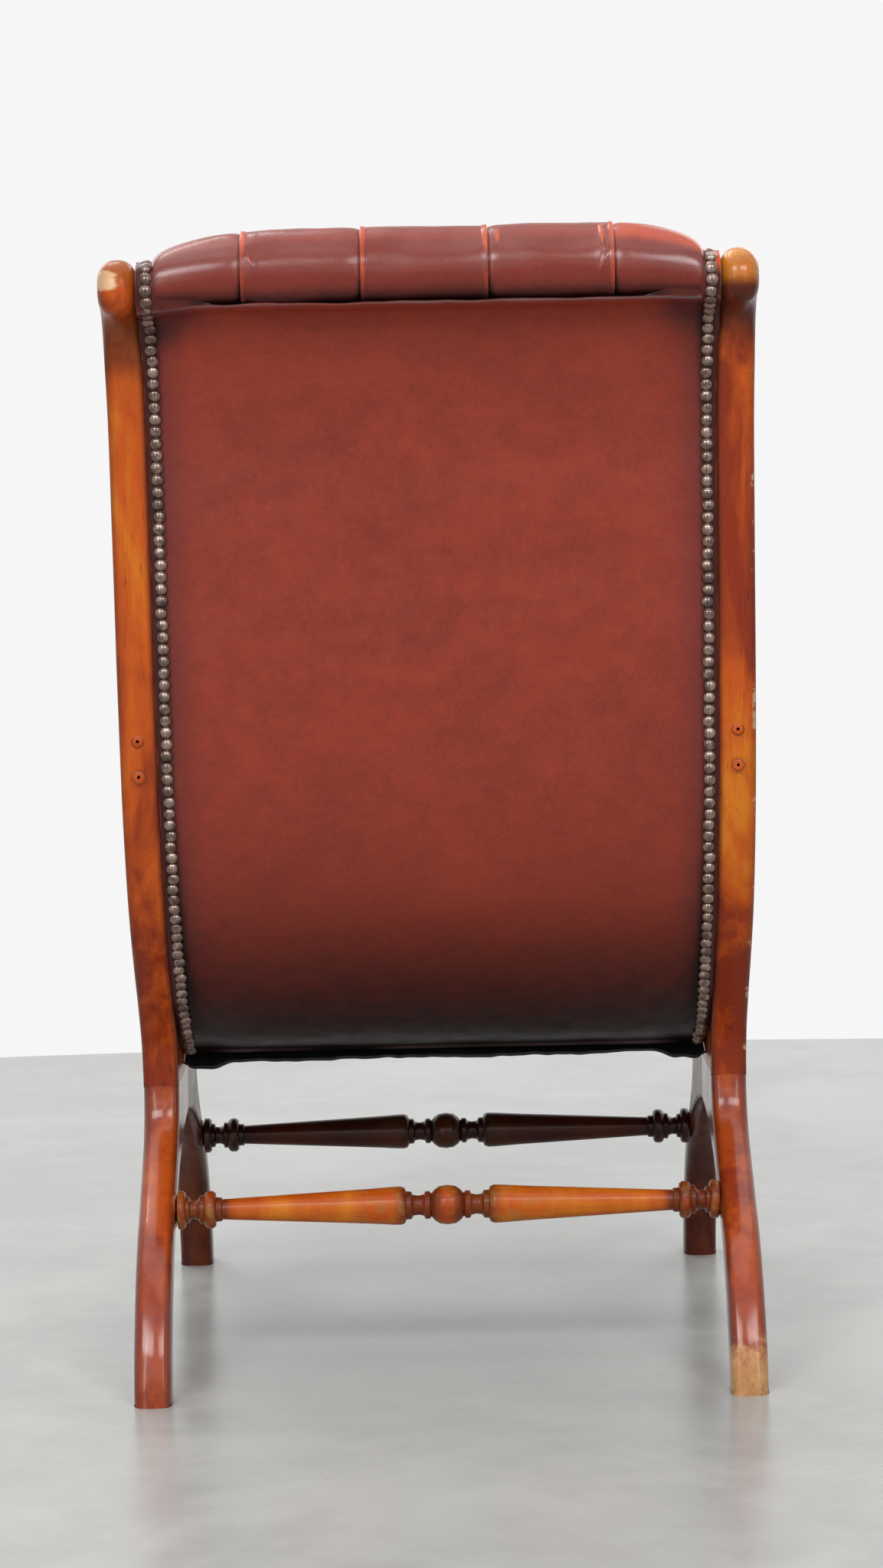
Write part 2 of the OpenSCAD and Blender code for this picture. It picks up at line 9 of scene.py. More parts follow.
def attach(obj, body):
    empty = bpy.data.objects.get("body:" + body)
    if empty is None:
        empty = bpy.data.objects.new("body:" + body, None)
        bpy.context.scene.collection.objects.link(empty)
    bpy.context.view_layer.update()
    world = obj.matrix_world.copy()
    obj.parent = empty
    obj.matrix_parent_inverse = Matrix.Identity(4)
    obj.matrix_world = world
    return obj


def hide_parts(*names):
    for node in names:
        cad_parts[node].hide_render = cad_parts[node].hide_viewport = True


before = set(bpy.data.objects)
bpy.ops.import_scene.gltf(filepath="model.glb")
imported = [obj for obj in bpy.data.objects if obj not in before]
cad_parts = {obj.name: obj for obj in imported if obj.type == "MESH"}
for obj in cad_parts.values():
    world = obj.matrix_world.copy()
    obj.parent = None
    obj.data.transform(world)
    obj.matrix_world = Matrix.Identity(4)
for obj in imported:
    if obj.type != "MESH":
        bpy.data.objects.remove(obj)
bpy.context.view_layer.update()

print("frame loaded:", len(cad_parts), "nodes")

mm = 0.001

# Driving sizes of the chair, in mm, as the construction has them
chair = {
    "width": 530, "stileHeight": 947, "scrollOverhang": 65, "seatReach": 640, "frontPad": 13,
    "frameThick": 31, "stileDepth": 46, "waistHeight": 242, "recess": 5, "sideRailThick": 28,
    "leather": 1.4, "cloth": 1.0, "webbing": 1.5, "backFoam": 28, "seatFoam": 50, "backPad": 24, "seatPad": 30,
    "rollRadius": 36, "rollForward": 13, "rollUp": 10, "crestRadius": 19, "noseWall": 15,
    "buttonPitch": 100, "rowPitch": 70, "bandWidth": 17, "gap": 0.3, "sideRoll": 45,
    "nailPitch": 10, "joinShare": 0.13, "hemShare": 0.043,
}
bodyShares = [
    (0, 1), (0.026, 0.986), (0.049, 0.956), (0.074, 0.9), (0.099, 0.721), (0.117, 0.517), (0.147, 0.356),
    (0.203, 0.23), (0.25, 0.169), (0.31, 0.105), (0.375, 0.058), (0.443, 0.034), (0.533, 0.021),
    (0.671, 0.021), (0.792, 0.029), (0.914, 0.053), (1, 0.084)]

carcass = chair["stileDepth"] - 2 * chair["recess"]
endRadius = carcass / 2
scrollRadius = chair["stileDepth"] / 2
frameInner = chair["width"] / 2 - chair["frameThick"]
bodyInner = frameInner - chair["sideRailThick"]
padHalf = frameInner - chair["bandWidth"] - chair["gap"]
heelY = (chair["seatReach"] + chair["frontPad"] - chair["scrollOverhang"]) / 2
backF = scrollRadius - chair["scrollOverhang"]
frontF = chair["seatReach"] - scrollRadius
bodyTop = chair["stileHeight"] - chair["stileDepth"] + chair["recess"]
wallFoot = carcass + max(chair["webbing"] + chair["cloth"], 2 * chair["leather"]) + chair["gap"]
backUnder = wallFoot + chair["backFoam"] + chair["gap"]
seatUnder = wallFoot + chair["seatFoam"] + chair["gap"]


def mix(a, b, t):
    return a + (b - a) * t


def ease(t):
    t = np.clip(t, 0, 1)
    return t * t * (3 - 2 * t)


def unit(v):
    v = np.asarray(v, float)
    return v / np.linalg.norm(v, axis=-1, keepdims=True)


def aim(degrees):
    a = np.radians(degrees)
    return np.stack([np.cos(a), np.sin(a)], -1)


def ramp(value, start, width):
    return ease((value - start) / width)


def bell(distance, width):
    return np.exp(-((distance / width) ** 2))


def mark(value, place, width):
    return bell(value - place, width)


def across(way):
    # a quarter turn to the right, in the side view
    return np.stack([way[..., 1], -way[..., 0]], -1)


def runAlong(points):
    return np.concatenate([[0], np.cumsum(np.linalg.norm(np.diff(points, axis=0), axis=1))])


def pointsAt(s, run, path):
    return np.stack([np.interp(s, run, path[:, k]) for k in (0, 1)], -1)


def hermite(a, b, leaving, coming, t):
    return ((2 * t**3 - 3 * t**2 + 1) * a + (t**3 - 2 * t**2 + t) * leaving
            + (3 * t**2 - 2 * t**3) * b + (t**3 - t**2) * coming)


# The body's side line, from the scroll down the back and along the underside to the front,
# in (mm forward of the heel, height)
def bodyLine():
    p = np.array([(mix(backF, frontF, s), mix(chair["waistHeight"], bodyTop, h)) for s, h in bodyShares])
    lengths = np.linalg.norm(np.diff(p, axis=0), axis=1)
    way = np.diff(p, axis=0) / lengths[:, None]
    level = [np.array([1.0, 0])]
    between = [(way[i - 1] * lengths[i] + way[i] * lengths[i - 1]) / (lengths[i - 1] + lengths[i])
               for i in range(1, len(way))]
    heads = level + between + level
    points = [hermite(p[i], p[i + 1], lengths[i] * heads[i], lengths[i] * heads[i + 1], t)
              for i in range(len(way)) for t in np.arange(8) / 8]
    points = np.array(points + [p[-1]])
    return points, runAlong(points)


linePoints, lineRun = bodyLine()
stations = int(round(lineRun[-1] / chair["rowPitch"] * 4))


def lineAt(i):
    return pointsAt(np.asarray(i, float) / stations * lineRun[-1], lineRun, linePoints)



def normalAt(i):
    i = np.asarray(i, float)
    way = unit(lineAt(np.minimum(i + 0.7, stations)) - lineAt(np.maximum(i - 0.7, 0)))
    ends = np.clip(np.minimum(i, stations - i), 0, 1)[..., None]
    return unit(mix(np.array([0.0, 1.0]), -across(way), ends))


def off(i, d):
    return lineAt(i) + normalAt(i) * np.asarray(d, float)[..., None]


def stationAt(share):
    height = mix(chair["waistHeight"], bodyTop, share)
    return next(i for i in range(stations + 1) if lineAt(i)[1] < height)


joinI = stationAt(chair["joinShare"])
hemI = stationAt(chair["hemShare"])
scrollC = off(0, endRadius)
frontC = off(stations, endRadius)
rollC = scrollC + np.array([chair["rollForward"], chair["rollUp"]])
print("body line:", stations, "stations, join", joinI, "hem", hemI)


def toWorld(x, fz):
    fz = np.asarray(fz, float)
    x = np.broadcast_to(np.asarray(x, float), fz.shape[:-1])
    return np.stack([x, heelY - fz[..., 0], fz[..., 1]], -1) * mm


# Meshes
def newPiece(name, verts, faces, material=None, attributes=None, smooth=True):
    mesh = bpy.data.meshes.new(name)
    mesh.from_pydata([tuple(v) for v in verts], [], [tuple(f) for f in faces])
    for key, values in (attributes or {}).items():
        mesh.attributes.new(key, "FLOAT", "POINT").data.foreach_set("value", np.asarray(values, np.float32))
    mesh.polygons.foreach_set("use_smooth", [smooth] * len(mesh.polygons))
    piece = bpy.data.objects.new(name, mesh)
    bpy.context.scene.collection.objects.link(piece)
    if material:
        mesh.materials.append(material)
    return piece


def gridFaces(rows, cols, closed=False):
    faces = []
    for r in range(rows - 1):
        for c in range(cols if closed else cols - 1):
            d = (c + 1) % cols
            faces.append((r * cols + c, r * cols + d, (r + 1) * cols + d, (r + 1) * cols + c))
    return faces


def tubeFaces(rows, cols):
    last = (rows - 1) * cols
    return gridFaces(rows, cols, closed=True) + [range(cols), range(last + cols - 1, last - 1, -1)]


def spotsOf(node):
    return np.array([v.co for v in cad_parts[node].data.vertices]) / mm


def outward(piece, merged=True):
    # faces turned outwards, after doubles are merged or many-sided ends are cut up
    shape = bmesh.new()
    shape.from_mesh(piece.data)
    if merged:
        bmesh.ops.remove_doubles(shape, verts=shape.verts, dist=1e-6)
    else:
        bmesh.ops.triangulate(shape, faces=[f for f in shape.faces if len(f.verts) > 4])
    bmesh.ops.recalc_face_normals(shape, faces=shape.faces)
    shape.to_mesh(piece.data)
    shape.free()
    return piece


def settle(piece, node):
    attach(piece, "root")
    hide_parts(node)
    return piece


def baked(piece):
    graph = bpy.context.evaluated_depsgraph_get()
    mesh = bpy.data.meshes.new_from_object(piece.evaluated_get(graph))
    piece.modifiers.clear()
    piece.data = mesh
    return piece


def smoothNoise(shape, cells, seed):
    # seeded lumps: a small random grid, spread over the shape by smooth interpolation
    grid = np.random.default_rng(seed).standard_normal((cells[0] + 3, cells[1] + 3))
    r = np.linspace(0, cells[0], shape[0])
    c = np.linspace(0, cells[1], shape[1])
    r0, c0 = np.floor(r).astype(int), np.floor(c).astype(int)
    fr, fc = ease(r - r0)[:, None], ease(c - c0)[None, :]
    top = mix(grid[np.ix_(r0, c0)], grid[np.ix_(r0, c0 + 1)], fc)
    low = mix(grid[np.ix_(r0 + 1, c0)], grid[np.ix_(r0 + 1, c0 + 1)], fc)
    return mix(top, low, fr)


# Nodes
class Socket:
    # a node's output that takes part in sums
    def __init__(self, shop, link):
        self.shop, self.link = shop, link

    def sum(self, operation, other, swapped=False):
        pair = (other, self) if swapped else (self, other)
        return self.shop.add("ShaderNodeMath", {"operation": operation}, {0: pair[0], 1: pair[1]})

    def __add__(self, other):
        return self.sum("ADD", other)

    __radd__ = __add__

    def __sub__(self, other):
        return self.sum("SUBTRACT", other)

    def __rsub__(self, other):
        return self.sum("SUBTRACT", other, swapped=True)

    def __mul__(self, other):
        return self.sum("MULTIPLY", other)

    __rmul__ = __mul__


class Shop:
    # the nodes of one tree: add() makes any node, and returns one of its outputs
    def __init__(self, tree):
        self.tree = tree

    def add(self, kind, settings=None, inputs=None, out=0):
        node = self.tree.nodes.new(kind)
        for key, value in (settings or {}).items():
            setattr(node, key, value)
        for key, value in (inputs or {}).items():
            if isinstance(value, Socket):
                self.tree.links.new(value.link, node.inputs[key])
            else:
                node.inputs[key].default_value = value
        return Socket(self, node.outputs[out]) if len(node.outputs) else None


class Finish(Shop):
    # one material: colours laid over each other, and short forms of the nodes that it uses
    def __init__(self, name, base=None):
        self.material = bpy.data.materials.new(name)
        self.material.use_nodes = True
        super().__init__(self.material.node_tree)
        self.tree.nodes.clear()
        self.colour = rgb(*base) if base else None

    def place(self, scale=(1, 1, 1), turn=(0, 0, 0)):
        where = self.add("ShaderNodeTexCoord", out="Object")
        turn = tuple(math.radians(a) for a in turn)
        turned = self.add("ShaderNodeMapping", {}, {"Vector": where, "Rotation": turn})
        return self.add("ShaderNodeMapping", {}, {"Vector": turned, "Scale": scale})

    def noise(self, place, scale, detail=3, rough=0.5, warp=0.0):
        return self.add("ShaderNodeTexNoise", {}, {
            "Vector": place, "Scale": scale, "Detail": detail, "Roughness": rough, "Distortion": warp})

    def band(self, value, low, high, start=0.0, end=1.0):
        return self.add("ShaderNodeMapRange", {"interpolation_type": "SMOOTHSTEP"}, {
            "Value": value, "From Min": low, "From Max": high, "To Min": start, "To Max": end})

    def attribute(self, name):
        return self.add("ShaderNodeAttribute", {"attribute_name": name}, out="Fac")

    def blend(self, factor, a, b):
        return self.add("ShaderNodeMix", {"data_type": "RGBA"}, {0: factor, 6: a, 7: b}, out=2)

    def lay(self, factor, colour):
        self.colour = self.blend(factor, self.colour, rgb(*colour))

    def axis(self, place, name):
        return self.add("ShaderNodeSeparateXYZ", {}, {0: place}, out=name)

    def bump(self, height, strength, distance, below=None):
        inputs = {"Height": height, "Strength": strength, "Distance": distance}
        if below:
            inputs["Normal"] = below
        return self.add("ShaderNodeBump", {}, inputs)

    def finish(self, inputs):
        if self.colour:
            inputs["Base Color"] = self.colour
        self.add("ShaderNodeOutputMaterial", {}, {"Surface": self.add("ShaderNodeBsdfPrincipled", {}, inputs)})
        return self.material


def rgb(r, g, b):
    # a colour as the eye names it, 0 to 255, turned into light
    def light(c):
        c /= 255
        return c / 12.92 if c <= 0.04045 else ((c + 0.055) / 1.055) ** 2.4
    return (light(r), light(g), light(b), 1)


# Camera, light and floor
view = {
    "lens": 85.04, "sensor": 36, "distance": 3038, "height": 748, "aside": 0.4, "yaw": -0.05, "pitch": -4.35,
    "roll": 1.21, "farEnd": 60,
}


def spin(v, axis, degrees):
    return Matrix.Rotation(math.radians(degrees), 3, axis) @ v


def makeCamera():
    right, up, ahead = Vector((-1, 0, 0)), Vector((0, 0, 1)), Vector((0, -1, 0))
    right, ahead = spin(right, up, view["yaw"]), spin(ahead, up, view["yaw"])
    up, ahead = spin(up, right, view["pitch"]), spin(ahead, right, view["pitch"])
    right, up = spin(right, ahead, view["roll"]), spin(up, ahead, view["roll"])
    camera = bpy.data.objects.new("camera", bpy.data.cameras.new("camera"))
    camera.data.lens = view["lens"]
    camera.data.sensor_width = view["sensor"]
    camera.data.clip_end = view["farEnd"]
    turn = Matrix((right, up, -ahead)).transposed().to_4x4()
    place = Vector((view["aside"], heelY + view["distance"], view["height"])) * mm
    camera.matrix_world = Matrix.Translation(place) @ turn
    bpy.context.scene.collection.objects.link(camera)
    bpy.context.scene.camera = camera


lighting = {
    "ambient": 0.34, "wall": 0.925,
    "lamps": [  # name, place in m, width and height in m, watts
        ("lampRearLeft", (1.2, 3.3, 2.75), (1.7, 0.9), 47), ("lampRearRight", (-1.2, 3.3, 2.7), (1.7, 0.9), 40),
        ("lampTallLeft", (1.2, 3.0, 1.35), (0.2, 2.3), 11), ("lampTallRight", (-1.3, 3.0, 1.35), (0.2, 2.3), 9),
        ("lampBehind", (0.0, 4.0, 1.35), (2.6, 0.8), 5),
        ("lampAbove", (0.1, 0.2, 3.3), (3.2, 3.2), 36), ("lampStrip", (0.75, -0.9, 2.9), (1.2, 0.14), 12),
        ("lampFrontLeft", (1.8, -2.4, 2.6), (1.8, 1.8), 28), ("lampFrontRight", (-1.6, -2.3, 2.3), (1.8, 1.8), 24)],
    "aimAt": (0, 0, 0.5),
    "floorColour": (190, 191, 188), "floorStain": 0.78, "floorRadius": 6.0, "floorEdge": -1.75,
}


def makeLight():
    world = bpy.data.worlds.new("studio")
    bpy.context.scene.world = world
    world.use_nodes = True
    world.node_tree.nodes.clear()
    studio = Shop(world.node_tree)
    seen = studio.add("ShaderNodeLightPath", out="Is Camera Ray")
    for ray in ("Is Glossy Ray", "Is Transmission Ray"):
        seen = studio.add("ShaderNodeMath", {"operation": "MAXIMUM"}, {
            0: seen, 1: studio.add("ShaderNodeLightPath", out=ray)})
    strength = studio.add("ShaderNodeMapRange", {}, {"Value": seen, "To Min": lighting["ambient"], "To Max": 1.0})
    glow = studio.add("ShaderNodeBackground", {}, {
        "Color": (lighting["wall"],) * 3 + (1,), "Strength": strength})
    studio.add("ShaderNodeOutputWorld", {}, {"Surface": glow})
    for name, place, size, watts in lighting["lamps"]:
        lamp = bpy.data.lights.new(name, "AREA")
        lamp.shape, lamp.size, lamp.size_y, lamp.energy = "RECTANGLE", *size, watts
        stand = bpy.data.objects.new(name, lamp)
        stand.location = place
        stand.rotation_euler = (Vector(lighting["aimAt"]) - Vector(place)).to_track_quat("-Z", "Y").to_euler()
        bpy.context.scene.collection.objects.link(stand)


def makeFloor():
    f = Finish("floor")
    pale = rgb(*lighting["floorColour"])
    stained = tuple(c * lighting["floorStain"] for c in pale[:3]) + (1,)
    where = f.place()
    wearAndHighlight = f.noise(where, 2.2, 6, 0.62, 0.6) * 0.8 + f.noise(where, 16, 2, 0.6) * 0.2
    material = f.finish({
        "Base Color": f.blend(f.band(wearAndHighlight, 0.36, 0.64), stained, pale),
        "Roughness": f.band(wearAndHighlight, 0.3, 0.7, 0.22, 0.32), "Specular IOR Level": 0.42})
    radius = lighting["floorRadius"]
    around = np.radians(np.arange(0, 360, 2))
    rim = [(radius * math.cos(a), lighting["floorEdge"] + radius + radius * math.sin(a), 0) for a in around]
    newPiece("floor", rim, [range(len(rim))], material, smooth=False)


bpy.context.scene.view_settings.view_transform = "Standard"
makeCamera()
makeLight()
makeFloor()
print("camera, light and floor made")

# Finishes
woods = {
    "gold": (206, 118, 26), "orange": (186, 80, 18), "red": (132, 44, 16), "dark": (62, 26, 18),
    "tan": (206, 158, 100), "pale": (226, 196, 156), "waxed": (150, 118, 60), "rubbed": (206, 128, 62),
    "brown": (140, 72, 16), "amber": (206, 130, 14), "crazed": (226, 176, 90), "ruddy": (142, 44, 6),
    "shadow": (26, 14, 12), "streaks": 46, "pores": 520, "stretch": 0.045, "crackle": 240,
    # heights in m, from foot to top, between which a mark comes and goes
    # the first: painted shade on the neck under the scroll's overhang
    "shadeBelow": {"pale": (0.828, 0.886, 0.892, 0.918), "crackle": (0.852, 0.902, 0.912, 0.93)},
    "wearAndHighlight": (0.917, 0.926, 0.932, 0.943), "scroll": (0.914, 0.926),
    # distances in m from the chair's middle: where the painted shade of the inner edge ends, and where
    # that of the outer edge comes
    "stileShadedEdges": (0.2395, 0.256, 0.2652), "legShadedEdges": (0.2415, 0.2555, 0.2645), "innerFace": 0.2345,
}


# Wood with its streaks along the grain: lean is the grain's slope in degrees, tone lightens it, and
# the rest say how worn, chipped and dark towards the foot the piece is, and how much painted shade
# it gets for the chair's shadow
def woodFinish(name, lean=0.0, tone=0.5, kind="frame", knob="", footWear=0.0, shade=0.0, chips=0.0, deep=0.0):
    w = Finish(name, woods["red"])
    dark = woods["dark"]
    along = w.place((1, 1, woods["stretch"]), (0, 90, 0) if kind == "turned" else (lean, 0, 0))
    where = w.place()
    streaks = w.noise(along, woods["streaks"], 6, 0.62, 0.8)
    pores = w.noise(along, woods["pores"], 2, 0.7)
    clouds = w.noise(w.place((1, 1, 0.35)), 15, 4, 0.6, 0.5)
    patches = w.noise(where, 26, 4, 0.62)
    height = w.axis(where, "Z")
    aside = w.add("ShaderNodeMath", {"operation": "ABSOLUTE"}, {0: w.axis(where, "X")})

    def between(low, high, top, end):
        return w.band(height, low, high) * w.band(height, top, end, 1, 0)

    # painted shade along the inner and outer edges of the piece
    def shadedSides(inner, outer, full, share):
        w.lay(w.band(aside, woods["innerFace"], inner, 0.6, 0), dark)
        w.lay(w.band(aside, outer, full, 0, share), dark)

    level = streaks * 0.4 + clouds * 0.6 + (tone - 0.5) * 0.4
    if kind == "stile":
        level = level + w.band(height, 0.25, 0.6, -deep, 0.0)
        if knob == "crackle":
            level = level + w.band(height, 0.5, 0.72, 0.06, -0.08)
    w.lay(w.band(level, 0.35, 0.52), woods["orange"])
    w.lay(w.band(level, 0.5, 0.68), woods["gold"])
    w.lay(w.band(pores, 0.56, 0.78) * 0.4, dark)
    coat = 0.6 if footWear else 0.15
    if kind == "turned":
        # painted shade in the grooves and round the plugs, in patches
        w.lay(w.band(w.attribute("grooveShade") + (patches - 0.5) * 0.6, 0.12, 0.8) * 0.74, dark)
        wearAndHighlight = w.attribute("swell") * w.band(w.noise(where, 75, 4, 0.6), 0.46, 0.66)
        w.lay(wearAndHighlight * 0.5, woods["waxed"])
    else:
        scuffs = w.noise(where, 55, 5, 0.7)
        # on wood this attribute holds only the rubbing wear of the edges
        w.lay(w.attribute("edge") * w.band(scuffs, 0.45, 0.6) * 0.2, woods["rubbed"])
        if chips:
            rightEdge = w.band(w.axis(where, "X"), -0.258, -0.261)
            w.lay(w.attribute("edge") * w.band(scuffs, 0.575, 0.6) * rightEdge * chips, woods["pale"])
    if kind == "stile":
        # painted shade on the neck under the scroll's overhang, in patches
        shadeBelow = w.band(between(*woods["shadeBelow"][knob]) + (patches - 0.5) * 0.9, 0.15, 1.1)
        w.lay(shadeBelow * (0.68 if knob == "pale" else 0.84), dark)
        shadedSides(*woods["stileShadedEdges"], 0.42)
        scratches = w.noise(w.place((1, 1, 0.16), (8, 0, 0)), 130, 3, 0.6)
        w.lay(w.band(scratches, 0.66, 0.74) * 0.5, dark)
        onScroll = w.band(height, *woods["scroll"])
        if knob == "pale":
            w.lay(onScroll * w.band(height, 0.92, 0.94, 0, 0.8), woods["brown"])
            bare = between(*woods["wearAndHighlight"]) * w.band(aside, 0.238, 0.257)
            bare = w.band(bare + (w.noise(w.place((0.4, 1, 1.4)), 95, 5, 0.7) - 0.5) * 1.3, 0.4, 0.85)
            w.lay(bare * w.band(streaks, 0.3, 0.6, 0.45, 0.8), woods["pale"])
        else:
            w.lay(onScroll * w.band(patches, 0.35, 0.6, 0.85, 0.4), woods["amber"])
            cracks = w.add("ShaderNodeTexVoronoi", {"feature": "DISTANCE_TO_EDGE"}, {
                "Vector": where, "Scale": woods["crackle"]})
            crazed = w.band(cracks, 0.0, 0.09, 1, 0) * onScroll * w.band(w.noise(where, 60, 3, 0.6), 0.4, 0.6)
            w.lay(crazed * 0.35, woods["crazed"])
        coat = onScroll * (0.4 if knob == "crackle" else -0.06) + 0.14
    if footWear:
        w.lay(w.band(height, 0.04, 0.15, 0.62, 0.1), woods["ruddy"])
        shadedSides(*woods["legShadedEdges"], 0.55)
        w.lay(w.band(streaks, 0.5, 0.7) * 0.35, dark)
        low = w.band(height, 0.003, 0.07, 1, 0)
        bare = w.band(low * footWear + (w.noise(along, 95, 5, 0.7) - 0.5) * 1.9, 0.3, 0.95)
        w.lay(bare * w.band(streaks, 0.35, 0.6, 0.88, 0.6), woods["tan"])
        ragged = w.noise(w.place((1, 1, 0.09), (lean, 0, 0)), 210, 3, 0.6)
        w.lay(w.band(low * 0.5 + ragged, 0.95, 1.2) * 0.4, dark)
    # painted shade for the chair's shadow, strongest below the seat and less at the top of the front legs
    if shade:
        w.lay(w.band(height, 0.2, 0.27, shade, 0.4 * shade), woods["shadow"])
    return w.finish({
        "Roughness": w.band(patches, 0.3, 0.8, 0.27, 0.42), "Coat Weight": coat,
        "Normal": w.bump(pores, 0.12, 0.0003, w.bump(streaks, 0.1, 0.002)),
        "Coat Roughness": 0.13 if footWear else 0.15, "Specular IOR Level": 0.16})


leathers = {
    "red": (149, 58, 41), "deep": (116, 46, 37), "plum": (84, 40, 42), "nearBlack": (26, 14, 14),
    "wearAndHighlight": (188, 74, 40), "dustAndSheen": (128, 110, 110), "grain": 750, "wrinkles": 26,
}


# Leather; a cover's own attributes say where it takes painted sheen and shade at its edges, grime and
# painted shade, wear and painted highlights, dust and painted sheen, and where it is shiny
def leatherFinish(name, tone=0.5, gloss=0.34, shine=0.18, dull=0.0):
    h = Finish(name, leathers["deep"])
    where = h.place()
    clouds = h.noise(where, 7, 4, 0.55, 0.4)
    mottle = h.noise(where, 45, 4, 0.65)
    fine = h.noise(where, 240, 3, 0.6)
    rubs = h.noise(h.place((0.3, 1, 1)), 60, 4, 0.6)
    level = clouds * 0.35 + mottle * 0.28 + fine * 0.27 + rubs * 0.1 + (tone - 0.5) * 0.3

    def patchy(mark, spread, low, high):
        return h.band(h.attribute(mark) + (mottle - 0.5) * spread, low, high)

    h.lay(h.band(level, 0.26, 0.7), leathers["red"])
    # plum for painted sheen and shade at the edges, near-black for grime and painted shade, orange for wear and
    # painted highlights, grey for dust and painted sheen
    h.lay(patchy("edge", 0.5, 0.05, 1.0) * (0.8 - dull) + dull, leathers["plum"])
    h.lay(patchy("grimeAndShade", 0.3, 0.1, 1.0), leathers["nearBlack"])
    h.lay(patchy("wearAndHighlight", 0.3, 0.25, 0.9), leathers["wearAndHighlight"])
    h.lay(h.attribute("dustAndSheen") * 0.45, leathers["dustAndSheen"])
    cells = h.add("ShaderNodeTexVoronoi", {"feature": "DISTANCE_TO_EDGE"}, {
        "Vector": where, "Scale": leathers["grain"]})
    grain = h.bump(h.band(cells, 0.0, 0.25), 0.10, 0.0004)
    creases = h.noise(where, leathers["wrinkles"], 6, 0.62, 0.8)
    return h.finish({
        "Roughness": h.band(mottle, 0.25, 0.75, gloss - 0.06, gloss + 0.10),
        "Normal": h.bump(creases, 0.16, 0.004, grain), "Specular IOR Level": shine,
        "Coat Weight": h.attribute("shiny") * h.band(mottle, 0.3, 0.7, 0.8, 1.1), "Coat Roughness": 0.2})


metals = {"bronze": (98, 79, 71), "bright": (156, 134, 122), "dark": (50, 36, 34)}


def nailFinish():
    n = Finish("antiqueNail", metals["bronze"])
    where = n.place()
    tarnish = n.noise(where, 130, 3, 0.55)
    n.lay(n.band(tarnish, 0.35, 0.65), metals["bright"])
    n.lay(n.band(n.noise(where, 30, 2, 0.5), 0.45, 0.75) * 0.6, metals["dark"])
    return n.finish({
        "Metallic": 0.7, "Roughness": n.band(tarnish, 0.3, 0.7, 0.13, 0.2),
        "Normal": n.bump(tarnish, 0.03, 0.0003)})


def clothFinish(name, colour, threads):
    c = Finish(name)
    where = c.place()
    rise = c.axis(where, "Z") + c.axis(where, "Y")
    over, under = (c.add("ShaderNodeMath", {"operation": "SINE"}, {0: way * threads})
                   for way in (c.axis(where, "X"), rise))
    weave = c.band(over * under, -1, 1)
    fluff = c.noise(where, 160, 4, 0.7)
    dark = tuple(0.55 * v for v in rgb(*colour)[:3]) + (1,)
    return c.finish({
        "Base Color": c.blend(weave * 0.6 + fluff * 0.4, dark, rgb(*colour)), "Roughness": 0.9,
        "Normal": c.bump(weave + fluff * 0.5, 0.3, 0.0006)})


def plainWoodFinish():
    p = Finish("innerWood", (176, 134, 92))
    grain = p.noise(p.place((0.08, 1, 1)), 120, 4, 0.6)
    p.lay(grain, (206, 168, 122))
    return p.finish({"Roughness": 0.7, "Normal": p.bump(grain, 0.2, 0.0004)})


def steelFinish():
    s = Finish("screwSteel")
    scratch = s.noise(s.place((1, 1, 6)), 300, 3, 0.6)
    return s.finish({
        "Base Color": s.blend(scratch, (0.42, 0.42, 0.43, 1), (0.6, 0.6, 0.6, 1)), "Metallic": 1.0,
        "Roughness": s.band(scratch, 0.3, 0.7, 0.25, 0.45)})


def foamFinish():
    f = Finish("foam", (236, 222, 170))
    cells = f.add("ShaderNodeTexVoronoi", {}, {"Vector": f.place(), "Scale": 900.0}, out="Distance")
    f.lay(cells, (216, 198, 140))
    return f.finish({"Roughness": 0.95, "Normal": f.bump(cells, 0.4, 0.0006)})


finishes = {
    "stileLeft": woodFinish("stileWoodLeft", 0, 0.5, "stile", "pale", deep=0.11),
    "stileRight": woodFinish("stileWoodRight", 0, 0.47, "stile", "crackle", chips=0.9, deep=0.17),
    "rail": woodFinish("seatRailWood", 75, 0.4),
    "legLeft": woodFinish("legWoodLeft", 34, 0.34, footWear=0.16),
    "legRight": woodFinish("legWoodRight", 34, 0.3, footWear=1.25),
    # the front legs and the front stretcher take painted shade for the chair's shadow over them
    "legFront": woodFinish("frontLegWood", -34, 0.3, shade=0.76),
    "plug": woodFinish("plugWood", 0, 0.44, "turned"),
    "turnedRear": woodFinish("rearStretcherWood", 0, 0.6, "turned"),
    "turnedFront": woodFinish("frontStretcherWood", 0, 0.25, "turned", shade=0.86),
    "panel": leatherFinish("panelLeather", 0.5),
    "roll": leatherFinish("rollLeather", 0.46, 0.27, 0.14, dull=0.06),
    "seat": leatherFinish("seatLeather", 0.46, 0.3, 0.22),
    "button": leatherFinish("buttonLeather", 0.4),
    "dust": clothFinish("dustCloth", (34, 34, 36), 5200),
    "webbing": clothFinish("webbing", (172, 148, 108), 2600),
    "hessian": clothFinish("hessian", (160, 132, 92), 1800),
    "innerWood": plainWoodFinish(), "nail": nailFinish(), "steel": steelFinish(), "foam": foamFinish(),
}
print("finishes made:", len(finishes))


# Side frames: the construction's own outlines, swept across their thickness with crowned faces,
# rounded edges and a domed scroll
frameShape = {
    "edgeRadius": 4.2, "legRadius": 6.5, "scrollRadius": 13.5, "jointEdge": 0.35, "footEdge": 1.2, "crown": 0.5,
    "legCrown": 2.4, "scrollReach": 58, "step": 5.5, "capInset": 1.2, "sharpTurn": 0.26,
    "footHeight": 0.5, "rubbed": (-4, 2.4), "innerRub": 0.25, "smoothAngle": 40, "faceWithin": 0.05,
    "columns": [0, 2.5, 5, 7.5, 9.5, 11, 12.2, 13.2, 14, 14.6, 15.1, 15.35, 15.5],
}


